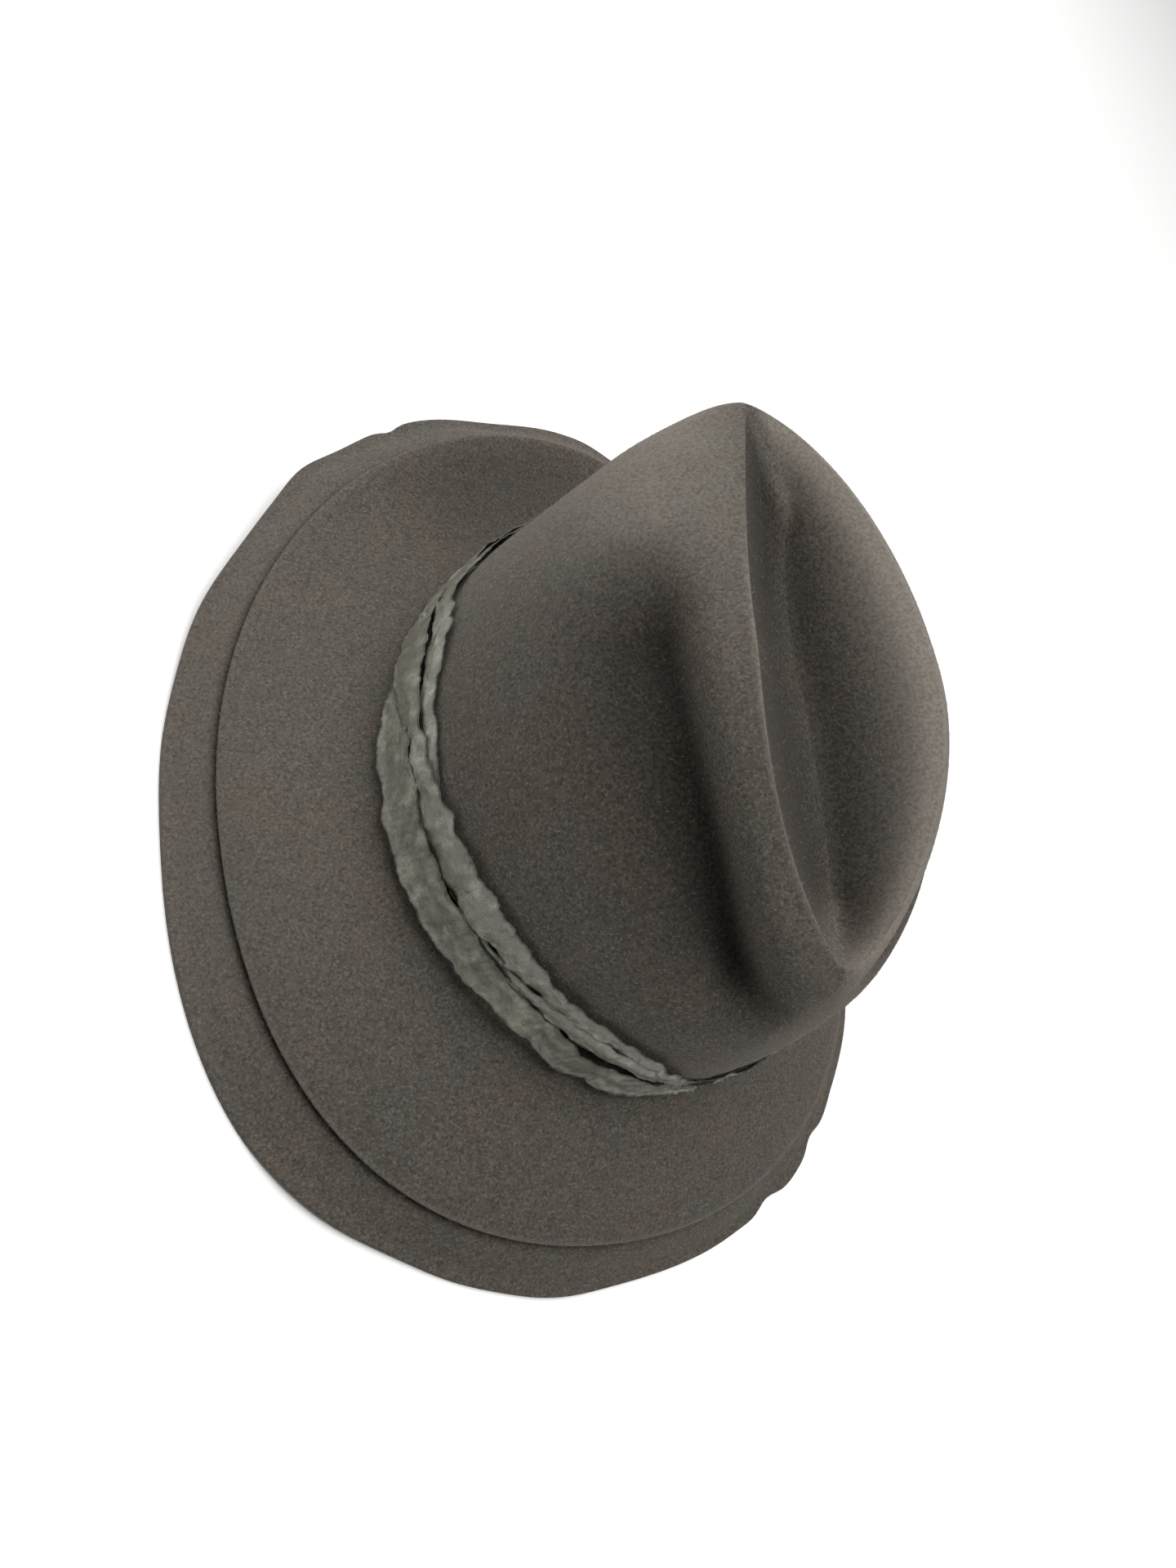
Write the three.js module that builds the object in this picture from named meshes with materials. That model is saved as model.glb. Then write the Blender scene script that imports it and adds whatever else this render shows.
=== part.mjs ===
// A felt hat that rests on its brim: one felt body, blocked into a creased crown and a stepped brim,
// and a trim of three crinkled satin strips round the foot of the crown.
// Millimetres, +Z up, floor at z = 0. The front of the hat faces -Y and the wearer's left is +X.
import * as THREE from "three";

// Felt body
const headLength = 198; // outside of the crown at its foot, front to back
const headWidth = 173; // outside of the crown at its foot, side to side
const crownHeight = 117; // foot of the crown to the top of the crease
const footHeight = 40; // floor to the foot of the crown
const brimFront = 59.5; // foot of the crown to the edge, seen from above
const brimSide = 60;
const brimBack = 66.5;
const backLift = 25; // rise of the edge at the back, where the brim turns up
const liftStart = 0.15; // where the rise starts, as a share of the way from the sides to the back
const feltThickness = 2.2;
const edgeWave = 3.6; // lift of the edge between the stretches that lie on the floor
const edgeRest = 0.12; // share of the wave up to which the edge still lies on the floor
const edgeRipple = 1.2; // how far the edge swings in and out

// Satin strips
const ribbonHeight = 32; // all three strips together, up the wall of the crown, at the front
const ribbonBackHeight = 26; // the same at the back
const ribbonFoot = 1.5; // lower edge of the strips above the foot of the crown
const ribbonThickness = 1;
const ribbonGap = 0.35; // clearance between the felt and the strips
const ribbonCrinkle = 0.5; // how far the crinkles stand out
const ribbonFlare = 1.5; // how far the lowest edge stands off over the brim

// Fineness of the meshes
const columns = 72; // steps round the hat, an even number
const dentSteps = 7; // rows from the middle of the dent to the crease
const crownSteps = 13; // rows from the crease to the foot of the crown
const ribbonSteps = 2; // rows across each strip

// Rings of the dent, from its floor out to the crease. Widths are shares of half the head width and
// lengths of half the head length; heights are shares of the crown height above the foot. Point narrows
// a side of the ring towards its ends, lean moves its widest place to the front, and shift moves the
// whole ring to the left.
const ringColumns = [
  "right", "left", "front", "back", "zFront", "zRight", "zLeft", "zBack",
  "pointRight", "pointLeft", "leanRight", "leanLeft", "shift",
];
const creaseRing = [0.35, 0.52, 0.808, 0.98, 0.778, 1, 1, 0.865, 1.8, 1.15, 0.45, -0.27, -0.03];
const dentRings = readTable(ringColumns, {
  floor: [0, 0, 0.6, 0.62, 0.68, 0.76, 0.76, 0.805, 1, 1, 0.3, 0, 0.12],
  bed: [0.12, 0.16, 0.66, 0.72, 0.68, 0.77, 0.775, 0.812, 1.1, 1.05, 0.35, -0.1, 0.1],
  flank: [0.235, 0.33, 0.73, 0.84, 0.715, 0.85, 0.85, 0.83, 1.5, 1.2, 0.4, -0.15, 0.05],
  brow: [0.315, 0.44, 0.78, 0.935, 0.755, 0.955, 0.965, 0.852, 1.7, 1.18, 0.45, -0.22, 0],
  crease: creaseRing,
});

// Rings of the crown, from the crease down to the foot, in the same shares.
const crownRings = readTable(ringColumns, {
  crease: creaseRing,
  ridge: [0.44, 0.63, 0.845, 1.005, 0.735, 0.925, 0.95, 0.84, 1.15, 1.1, 0.12, -0.24, -0.02],
  upper: [0.55, 0.71, 0.875, 1.02, 0.665, 0.84, 0.865, 0.79, 1.02, 1.04, -0.05, -0.15, -0.01],
  shoulder: [0.69, 0.79, 0.91, 1.025, 0.57, 0.71, 0.735, 0.66, 1, 1, -0.12, -0.07, 0],
  bulge: [0.82, 0.865, 0.945, 1.022, 0.455, 0.575, 0.585, 0.49, 1, 1, -0.05, -0.02, 0],
  wall: [0.925, 0.93, 0.975, 1.012, 0.33, 0.4, 0.4, 0.34, 1, 1, 0, 0, 0],
  lower: [0.985, 0.985, 0.995, 1.003, 0.17, 0.2, 0.2, 0.17, 1, 1, 0, 0, 0],
  band: [0.998, 0.998, 0.998, 0.998, 0.055, 0.065, 0.065, 0.055, 1, 1, 0, 0, 0],
  foot: [1.01, 1.01, 1.01, 1.01, 0, 0, 0, 0, 1, 1, 0, 0, 0],
});

// Rings of the brim, from the foot of the crown out to the edge. Out is a share of the brim widths,
// heights are shares of the foot height, and the other columns square the quarters of the outline.
const brimRings = readTable(
  ["out", "zFront", "zSide", "zBack", "frontRight", "frontLeft", "backRight", "backLeft"],
  {
    foot: [0.015, 1.075, 0.975, 0.425, 0, 0, 0, 0],
    root: [0.09, 0.985, 0.87, 0.33, 0.004, 0.004, 0, 0],
    inner: [0.3, 0.83, 0.735, 0.235, 0.012, 0.01, 0.002, 0],
    middle: [0.52, 0.665, 0.585, 0.22, 0.024, 0.016, 0.006, 0],
    outer: [0.69, 0.52, 0.46, 0.29, 0.034, 0.022, 0.01, 0.002],
    shoulder: [0.76, 0.436, 0.378, 0.33, 0.038, 0.024, 0.012, 0.002],
    step: [0.793, 0.33, 0.272, 0.27, 0.04, 0.024, 0.012, 0.002],
    groove: [0.806, 0.17, 0.14, 0.13, 0.042, 0.024, 0.014, 0.002],
    flange: [0.88, 0.075, 0.068, 0.06, 0.044, 0.025, 0.016, 0.002],
    lip: [0.955, 0, 0, 0, 0.05, 0.028, 0.018, 0.002],
    edge: [1, 0, 0, 0, 0.053, 0.029, 0.018, 0.002],
  },
);

// Hollows pressed into the crown by hand. Side is -1 on the wearer's right and 1 on the left, ring counts
// crown rings down from the crease, angles are degrees from the front, and depth is a share of the
// crown height.
const pinches = readTable(["side", "ring", "spread", "from", "fadeIn", "to", "fadeOut", "depth"], {
  rightPinch: [-1, 1.7, 0.72, 6, 30, 92, 24, 0.085],
  leftPinch: [1, 1.9, 0.8, 8, 34, 86, 30, 0.045],
  rightBack: [-1, 1.3, 0.8, 136, 18, 152, 20, 0.016],
});

// Waves of the brim edge: turns round the hat, turn of the wave in degrees, and weight.
const edgeWaves = readTable(["turns", "phase", "weight"], {
  long: [5, 280, 0.45],
  middling: [9, 120, 0.35],
  short: [14, 100, 0.2],
});

// Satin strips: the heights between which each lies, as shares of the ribbon height, and the turns of
// its crinkles.
const strips = readTable(["top", "bottom", "crinkles"], {
  ribbon_upper: [1, 0.62, 17],
  ribbon_fold: [0.58, 0.46, 23],
  ribbon_lower: [0.42, 0, 19],
});

const feltMaterial = new THREE.MeshStandardMaterial({ color: 0x534f49, roughness: 0.95, metalness: 0 });
const satinMaterial = new THREE.MeshStandardMaterial({ color: 0x6f6f66, roughness: 0.45, metalness: 0 });

// A table as an object of rows, each an object with the named columns.
function readTable(names, rows) {
  const table = {};
  for (const [key, values] of Object.entries(rows)) {
    table[key] = Object.fromEntries(names.map((name, index) => [name, values[index]]));
  }
  return table;
}

function clamp01(value) {
  return Math.min(1, Math.max(0, value));
}

function smoothStep(value) {
  const t = clamp01(value);
  return t * t * (3 - 2 * t);
}

// Slopes of a curve through evenly spaced values that never swings past them.
function steadySlopes(values) {
  const last = values.length - 1;
  return values.map((value, index) => {
    if (index === 0) return values[1] - value;
    if (index === last) return value - values[last - 1];
    const before = value - values[index - 1];
    const after = values[index + 1] - value;
    return before * after > 0 ? (2 * before * after) / (before + after) : 0;
  });
}

// The row of a table at a place between its rows, each column on its own steady curve.
function rowAt(rows, place) {
  const list = Object.values(rows);
  const index = Math.min(list.length - 2, Math.max(0, Math.floor(place)));
  const t = place - index;
  const row = {};
  for (const name of Object.keys(list[0])) {
    const values = list.map((entry) => entry[name]);
    const slopes = steadySlopes(values);
    const rise = 3 * t * t - 2 * t * t * t;
    row[name] =
      values[index] * (1 - rise) +
      values[index + 1] * rise +
      slopes[index] * (t - 2 * t * t + t * t * t) +
      slopes[index + 1] * (t * t * t - t * t);
  }
  return row;
}

// Height of the foot of the crown: a little lower at the sides than at the front and back.
function footLevel(sine, cosine) {
  const row = brimRings.foot;
  const end = cosine > 0 ? row.zFront : row.zBack;
  const share = end * cosine * cosine + row.zSide * sine * sine;
  return feltThickness + edgeLift(cosine) + (footHeight - feltThickness) * share;
}

// Rise of the brim towards the back, from a little behind the sides.
function edgeLift(cosine) {
  const back = Math.max(0, -cosine - liftStart) / (1 - liftStart);
  return backLift * back * back;
}

// Angle from the front in degrees, 0 to 180 on either side.
function degreesFromFront(angle) {
  const turn = THREE.MathUtils.euclideanModulo(angle, 2 * Math.PI);
  return THREE.MathUtils.radToDeg(Math.min(turn, 2 * Math.PI - turn));
}

// A point of the crown or the dent, before the pinches.
function crownPoint(row, angle) {
  const sine = Math.sin(angle);
  const cosine = Math.cos(angle);
  const left = sine > 0;
  const lean = 1 + (left ? row.leanLeft : row.leanRight) * cosine;
  const point = left ? row.pointLeft : row.pointRight;
  const width = (left ? row.left : row.right) * Math.sign(sine) * Math.abs(sine) ** point * lean;
  const length = cosine > 0 ? row.front : row.back;
  const end = cosine > 0 ? row.zFront : row.zBack;
  const side = left ? row.zLeft : row.zRight;
  const share = end * cosine * cosine + side * sine * sine;
  return new THREE.Vector3(
    (headWidth / 2) * (width + row.shift),
    (-headLength / 2) * length * cosine,
    footLevel(sine, cosine) + crownHeight * share,
  );
}

// How far the pinches push a point of the crown in and down.
function pinchPush(place, angle) {
  const push = new THREE.Vector3();
  const sine = Math.sin(angle);
  const degrees = degreesFromFront(angle);
  for (const pinch of Object.values(pinches)) {
    if (pinch.side * sine <= 0) continue;
    const across = Math.exp(-(((place - pinch.ring) / pinch.spread) ** 2));
    const start = smoothStep((degrees - pinch.from) / pinch.fadeIn);
    const stop = smoothStep((pinch.to + pinch.fadeOut - degrees) / pinch.fadeOut);
    const depth = crownHeight * pinch.depth * across * start * stop;
    push.add(new THREE.Vector3(-sine * 0.75, Math.cos(angle) * 0.75, -0.66).multiplyScalar(depth));
  }
  return push;
}

function crownSurface(place, angle) {
  const held = smoothStep(place / 0.6);
  return crownPoint(rowAt(crownRings, place), angle).addScaledVector(pinchPush(place, angle), held);
}

// Wave of the edge between -1 and 1.
function edgeSwing(angle) {
  return Object.values(edgeWaves).reduce(
    (sum, wave) => sum + wave.weight * Math.sin(wave.turns * angle + THREE.MathUtils.degToRad(wave.phase)),
    0,
  );
}

// A point of the brim. The waves grow from the step out to the edge, and die away at the very front.
function brimPoint(row, angle) {
  const sine = Math.sin(angle);
  const cosine = Math.cos(angle);
  const front = cosine > 0;
  const quarter = (front ? "front" : "back") + (sine < 0 ? "Right" : "Left");
  const square = 1 + row[quarter] * Math.sin(2 * angle) ** 2;
  const loose = smoothStep((row.out - 0.8) / 0.2);
  const still = smoothStep((degreesFromFront(angle) - 6) / 16);
  const swing = edgeSwing(angle) * loose * still;
  const halfWidth = headWidth / 2 + brimSide * row.out;
  const halfLength = headLength / 2 + (front ? brimFront : brimBack) * row.out;
  const share = (front ? row.zFront : row.zBack) * cosine * cosine + row.zSide * sine * sine;
  const level = feltThickness + edgeLift(cosine) + (footHeight - feltThickness) * share;
  return new THREE.Vector3(
    sine * (halfWidth * square + edgeRipple * swing),
    -cosine * (halfLength * square + edgeRipple * swing),
    level + edgeWave * Math.max(0, swing - edgeRest),
  );
}

// Angles of the columns round the hat, the first at the front.
function columnAngles() {
  return Array.from({ length: columns }, (_, index) => (2 * Math.PI * index) / columns);
}

// The upper face of the felt as rows of points, from the floor of the dent to the edge of the brim.
function feltRows() {
  const angles = columnAngles();
  const rows = [];
  const dentLast = Object.keys(dentRings).length - 1;
  const crownLast = Object.keys(crownRings).length - 1;
  for (let step = 0; step < dentSteps; step++) {
    const row = rowAt(dentRings, (dentLast * step) / dentSteps);
    rows.push(angles.map((angle) => crownPoint(row, angle)));
  }
  for (let step = 0; step < crownSteps; step++) {
    rows.push(angles.map((angle) => crownSurface((crownLast * step) / crownSteps, angle)));
  }
  for (const row of Object.values(brimRings)) {
    rows.push(angles.map((angle) => brimPoint(row, angle)));
  }
  return rows;
}

// Number of the vertex at a row and column. The first row is folded shut along its length, so its two
// sides share their vertices.
function vertexOf(row, column) {
  const index = THREE.MathUtils.euclideanModulo(column, columns);
  return row === 0 ? Math.min(index, columns - index) : row * columns + index;
}

// Triangles of a sheet of rows, facing up, or down if turned.
function sheetFaces(rowCount, firstVertex, turned) {
  const faces = [];
  const add = (a, b, c) => {
    if (a === b || b === c || c === a) return;
    const [x, y, z] = turned ? [a, c, b] : [a, b, c];
    faces.push(firstVertex + x, firstVertex + y, firstVertex + z);
  };
  for (let row = 0; row + 1 < rowCount; row++) {
    for (let column = 0; column < columns; column++) {
      const inner = vertexOf(row, column);
      const innerNext = vertexOf(row, column + 1);
      const outer = vertexOf(row + 1, column);
      const outerNext = vertexOf(row + 1, column + 1);
      add(inner, outer, outerNext);
      add(inner, outerNext, innerNext);
    }
  }
  return faces;
}

function geometryOf(points, faces) {
  const geometry = new THREE.BufferGeometry();
  geometry.setAttribute("position", new THREE.Float32BufferAttribute(points.flatMap((p) => [p.x, p.y, p.z]), 3));
  geometry.setIndex(faces);
  geometry.computeVertexNormals();
  return geometry;
}

// The felt body: the upper face, the under face one thickness below it and the cut edge between them.
// The last strip of the under face lies straight below the upper one, so it is flat on the floor.
function feltGeometry() {
  const rows = feltRows();
  const top = rows.flat();
  const sheet = geometryOf(top, sheetFaces(rows.length, 0, false));
  const normals = sheet.getAttribute("normal");
  const lastRow = rows.length - 1;
  const under = top.map((point, index) => {
    const row = Math.floor(index / columns);
    const vertex = vertexOf(row, index % columns);
    const normal = new THREE.Vector3().fromBufferAttribute(normals, vertex);
    if (row >= lastRow - 1) normal.set(0, 0, 1);
    const lowered = point.clone().addScaledVector(normal, -feltThickness);
    lowered.z = Math.max(0, lowered.z);
    return lowered;
  });
  const faces = [
    ...sheetFaces(rows.length, 0, false),
    ...sheetFaces(rows.length, top.length, true),
  ];
  for (let column = 0; column < columns; column++) {
    const here = vertexOf(lastRow, column);
    const next = vertexOf(lastRow, column + 1);
    faces.push(here, here + top.length, next + top.length, here, next + top.length, next);
  }
  return geometryOf([...top, ...under], faces);
}

// Direction out of the felt at a point of the crown.
function crownNormal(place, angle) {
  const step = 0.02;
  const down = crownSurface(place + step, angle).sub(crownSurface(place - step, angle));
  const round = crownSurface(place, angle + step).sub(crownSurface(place, angle - step));
  return down.cross(round).normalize();
}

// How far the strips reach up the wall together at an angle.
function ribbonReach(angle) {
  const toBack = smoothStep((degreesFromFront(angle) - 60) / 45);
  return ribbonHeight + (ribbonBackHeight - ribbonHeight) * toBack;
}

// The place down the crown rings at which the wall is a given height above the foot.
function placeAtHeight(height) {
  let high = 4;
  let low = Object.keys(crownRings).length - 1;
  for (let round = 0; round < 30; round++) {
    const middle = (high + low) / 2;
    if (rowAt(crownRings, middle).zRight * crownHeight > height) high = middle;
    else low = middle;
  }
  return (high + low) / 2;
}

// A satin strip: a closed band that follows the felt, with crinkles along its outer face.
function stripGeometry(strip) {
  const angles = columnAngles();
  const section = [];
  for (let step = 0; step <= ribbonSteps; step++) section.push([step / ribbonSteps, false]);
  for (let step = ribbonSteps; step >= 0; step--) section.push([step / ribbonSteps, true]);
  const points = [];
  for (const angle of angles) {
    const top = placeAtHeight(ribbonFoot + ribbonReach(angle) * strip.top);
    const bottom = placeAtHeight(ribbonFoot + ribbonReach(angle) * strip.bottom);
    for (const [across, outside] of section) {
      const place = top + (bottom - top) * across;
      const crest = Math.sin(strip.crinkles * angle + 4 * across) * Math.sin(Math.PI * across);
      const height = strip.top + (strip.bottom - strip.top) * across;
      const flare = ribbonFlare * clamp01(1 - height / 0.3) ** 2;
      const stand = outside ? ribbonThickness + ribbonCrinkle * (0.5 + 0.5 * crest) : 0;
      const offset = ribbonGap + flare + stand;
      points.push(crownSurface(place, angle).addScaledVector(crownNormal(place, angle), offset));
    }
  }
  const faces = [];
  const around = section.length;
  for (let column = 0; column < columns; column++) {
    for (let side = 0; side < around; side++) {
      const nextSide = (side + 1) % around;
      const here = column * around;
      const next = ((column + 1) % columns) * around;
      faces.push(here + side, next + side, next + nextSide, here + side, next + nextSide, here + nextSide);
    }
  }
  return geometryOf(points, faces);
}

function namedMesh(name, geometry, material) {
  const mesh = new THREE.Mesh(geometry, material);
  mesh.name = name;
  return mesh;
}

const hat = new THREE.Group();
hat.add(namedMesh("felt_body", feltGeometry(), feltMaterial));
for (const [name, strip] of Object.entries(strips)) {
  hat.add(namedMesh(name, stripGeometry(strip), satinMaterial));
}

// The hat stands with the middle of its outline over the origin and its lowest face on the floor.
const outline = new THREE.Box3().setFromObject(hat, true);
const middle = outline.getCenter(new THREE.Vector3());
hat.position.set(-middle.x, -middle.y, -outline.min.z);

export default hat;
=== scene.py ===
"""A soft felt hat with a creased crown and a crinkled satin trim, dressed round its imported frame.

Metres, +Z up, floor at z = 0. The front of the hat faces -Y and the wearer's left is +X. The felt is one
sheet of rings, read from short tables of shares of the hat's sizes, as in the part's own source.
"""

from __future__ import annotations

import logging
import math
from dataclasses import dataclass
from enum import Enum

import bpy
import numpy as np
from mathutils import Matrix, Vector


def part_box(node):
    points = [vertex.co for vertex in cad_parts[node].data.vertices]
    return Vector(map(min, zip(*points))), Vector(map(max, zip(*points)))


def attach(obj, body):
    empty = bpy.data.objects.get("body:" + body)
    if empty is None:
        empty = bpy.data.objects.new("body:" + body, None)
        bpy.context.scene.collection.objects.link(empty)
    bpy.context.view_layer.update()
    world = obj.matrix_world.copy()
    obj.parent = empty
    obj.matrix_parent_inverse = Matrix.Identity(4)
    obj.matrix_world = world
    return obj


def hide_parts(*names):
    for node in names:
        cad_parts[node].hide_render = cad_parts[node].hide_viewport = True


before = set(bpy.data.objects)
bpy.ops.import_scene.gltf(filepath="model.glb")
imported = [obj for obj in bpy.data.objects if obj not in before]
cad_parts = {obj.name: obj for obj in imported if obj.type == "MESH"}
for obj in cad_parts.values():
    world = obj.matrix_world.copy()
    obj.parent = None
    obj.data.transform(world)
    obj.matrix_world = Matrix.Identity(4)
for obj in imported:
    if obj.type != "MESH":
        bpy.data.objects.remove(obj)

LOG = logging.getLogger("hat")
MM = 0.001

RING_COLUMNS = (
    "right", "left", "front", "back", "z_front", "z_right", "z_left", "z_back",
    "point_right", "point_left", "lean_right", "lean_left", "shift",
)
BRIM_COLUMNS = (
    "out", "z_front", "z_side", "z_back", "front_right", "front_left", "back_right", "back_left",
)
CREASE_RING = (0.335, 0.585, 0.808, 0.98, 0.778, 0.985, 0.955, 0.865, 1.8, 1.15, 0.45, -0.27, -0.03)

# A slant dies away so many degrees from the front.
SLANT_TURN = 60

OUTLINE_SAMPLES = 720


class Quarter(Enum):
    """A quarter of the brim's outline, by the column that squares it."""

    FRONT_RIGHT = "front_right"
    FRONT_LEFT = "front_left"
    BACK_RIGHT = "back_right"
    BACK_LEFT = "back_left"


def smooth_step(value: np.ndarray) -> np.ndarray:
    """A soft rise from 0 to 1 as value goes from 0 to 1."""
    t = np.clip(value, 0, 1)
    return t * t * (3 - 2 * t)


def steady_slopes(values: np.ndarray) -> np.ndarray:
    """Slopes of a curve through evenly spaced rows that never swings past them.

    Args:
        values: one row for each place, one column for each curve.

    Returns:
        The slopes, in the same shape.
    """
    steps = np.diff(values, axis=0)
    slopes = np.vstack([steps[:1], np.zeros_like(values[1:-1]), steps[-1:]])
    before, after = steps[:-1], steps[1:]
    same = before * after > 0
    total = np.where(same, before + after, 1)
    slopes[1:-1] = np.where(same, 2 * before * after / total, 0)
    return slopes


@dataclass(frozen=True)
class RingTable:
    """Rings of shares, in order, that can be read at any place between them."""

    columns: tuple[str, ...]
    rings: dict[str, tuple[float, ...]]

    def last(self) -> int:
        """Place of the last ring."""
        return len(self.rings) - 1

    def place(self, name: str) -> int:
        """Place of a ring by its name."""
        return list(self.rings).index(name)

    def read(self, place: np.ndarray) -> dict[str, np.ndarray]:
        """Reads every column at some places.

        Args:
            place: places counted in rings from the first one.

        Returns:
            The value of each column at each place.
        """
        values = np.array(list(self.rings.values()), float)
        slopes = steady_slopes(values)
        index = np.clip(np.floor(place).astype(int), 0, len(values) - 2)
        t = (place - index)[..., None]
        rise = 3 * t**2 - 2 * t**3
        found = (
            values[index] * (1 - rise)
            + values[index + 1] * rise
            + slopes[index] * (t - 2 * t**2 + t**3)
            + slopes[index + 1] * (t**3 - t**2)
        )
        return {name: found[..., k] for k, name in enumerate(self.columns)}


# Widths are shares of half the head width, lengths of half the head length, and heights of the crown
# height above the foot. Point narrows a side of a ring towards its ends, lean moves its widest place to
# the front, and shift moves the whole ring to the left.
DENT_RINGS = RingTable(RING_COLUMNS, {
    "floor": (0, 0, 0.6, 0.64, 0.665, 0.745, 0.745, 0.81, 1, 1, 0.3, 0, 0.15),
    "bed": (0.12, 0.14, 0.66, 0.73, 0.67, 0.76, 0.76, 0.818, 1.1, 1.05, 0.35, -0.1, 0.13),
    "flank": (0.22, 0.32, 0.73, 0.85, 0.705, 0.85, 0.825, 0.838, 1.5, 1.2, 0.4, -0.15, 0.07),
    "brow": (0.295, 0.47, 0.78, 0.935, 0.75, 0.94, 0.91, 0.855, 1.7, 1.18, 0.45, -0.22, 0),
    "crease": CREASE_RING,
})
CROWN_RINGS = RingTable(RING_COLUMNS, {
    "crease": CREASE_RING,
    "ridge": (0.44, 0.7, 0.845, 1.005, 0.735, 0.918, 0.9, 0.84, 1.15, 1.1, 0.12, -0.24, -0.02),
    "upper": (0.56, 0.765, 0.875, 1.02, 0.665, 0.84, 0.81, 0.79, 1.02, 1.04, -0.05, -0.15, -0.01),
    "shoulder": (0.70, 0.83, 0.91, 1.025, 0.57, 0.71, 0.735, 0.66, 1, 1, -0.12, -0.07, 0),
    "bulge": (0.82, 0.865, 0.945, 1.022, 0.455, 0.575, 0.585, 0.49, 1, 1, -0.05, -0.02, 0),
    "wall": (0.925, 0.93, 0.975, 1.012, 0.33, 0.4, 0.4, 0.34, 1, 1, 0, 0, 0),
    "lower": (0.985, 0.985, 0.995, 1.003, 0.17, 0.2, 0.2, 0.17, 1, 1, 0, 0, 0),
    "band": (0.998, 0.998, 0.998, 0.998, 0.055, 0.065, 0.065, 0.055, 1, 1, 0, 0, 0),
    "foot": (1.01, 1.01, 1.01, 1.01, 0, 0, 0, 0, 1, 1, 0, 0, 0),
})

# Out is a share of the brim widths, heights are shares of the foot height, and the other columns square
# the quarters of the outline. From fold to groove the felt is tucked in under itself.
BRIM_RINGS = RingTable(BRIM_COLUMNS, {
    "foot": (0.015, 1.075, 0.975, 0.425, 0, 0, 0, 0),
    "root": (0.09, 0.985, 0.87, 0.33, 0.004, 0.004, 0, 0),
    "inner": (0.3, 0.83, 0.735, 0.235, 0.012, 0.01, 0.002, 0),
    "middle": (0.52, 0.665, 0.585, 0.22, 0.024, 0.016, 0.006, 0),
    "outer": (0.68, 0.53, 0.468, 0.285, 0.034, 0.022, 0.01, 0.002),
    "shoulder": (0.752, 0.452, 0.392, 0.33, 0.038, 0.024, 0.012, 0.002),
    "fold": (0.777, 0.4, 0.342, 0.312, 0.039, 0.024, 0.012, 0.002),
    "tuck": (0.766, 0.35, 0.292, 0.275, 0.039, 0.024, 0.012, 0.002),
    "groove": (0.748, 0.312, 0.256, 0.245, 0.039, 0.024, 0.012, 0.002),
    "ledge": (0.782, 0.297, 0.244, 0.232, 0.04, 0.024, 0.013, 0.002),
    "flange": (0.86, 0.19, 0.158, 0.145, 0.044, 0.025, 0.016, 0.002),
    "lip": (0.945, 0.045, 0.04, 0.036, 0.05, 0.028, 0.018, 0.002),
    "edge": (1, 0, 0, 0, 0.053, 0.029, 0.018, 0.002),
})


def turned_from_front(angle: np.ndarray) -> np.ndarray:
    """Degrees from the front, the same to either side."""
    return np.degrees(np.arccos(np.clip(np.cos(angle), -1, 1)))


@dataclass(frozen=True)
class Stretch:
    """A stretch of the crown, the dent or the brim on one side of the hat.

    Side is -1 for the wearer's right and 1 for the left. Ring is the place of its middle in its ring table,
    and inner and outer are its spreads in rings, towards and away from the middle of the hat. Start and end
    are degrees from the front, with a fade at each. Weight is its strength. Slant lowers its middle by so
    many rings at the front.
    """

    side: int
    ring: float
    inner: float
    outer: float
    start: float
    fade_in: float
    end: float
    fade_out: float
    weight: float
    slant: float = 0.0

    def value(self, place: np.ndarray, angle: np.ndarray) -> np.ndarray:
        """How strong it is.

        Args:
            place: places in its ring table.
            angle: angles from the front in radians.

        Returns:
            Its weight times a share for each point.
        """
        turned = turned_from_front(angle)
        off = place - self.ring - self.slant * (1 - smooth_step(turned / SLANT_TURN))
        across = np.exp(-((off / np.where(off < 0, self.inner, self.outer)) ** 2))
        along = smooth_step((turned - self.start) / self.fade_in)
        along = along * smooth_step((self.end + self.fade_out - turned) / self.fade_out)
        return np.where(self.side * np.sin(angle) > 0, self.weight * across * along, 0)


@dataclass(frozen=True)
class EdgeWave:
    """A wave of the brim's edge: turns round the hat, turn of the wave in degrees, and weight."""

    turns: int
    phase: float
    weight: float


# The crown is pinched in by hand at these stretches, by a share of its height.
PINCHES = (
    Stretch(-1, 2.15, 0.7, 0.7, 4, 26, 100, 20, 0.125, slant=0.8),
    Stretch(1, 1.9, 0.8, 0.8, 8, 34, 86, 30, 0.045),
    Stretch(-1, 1.3, 0.8, 0.8, 136, 18, 152, 20, 0.016),
)

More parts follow.
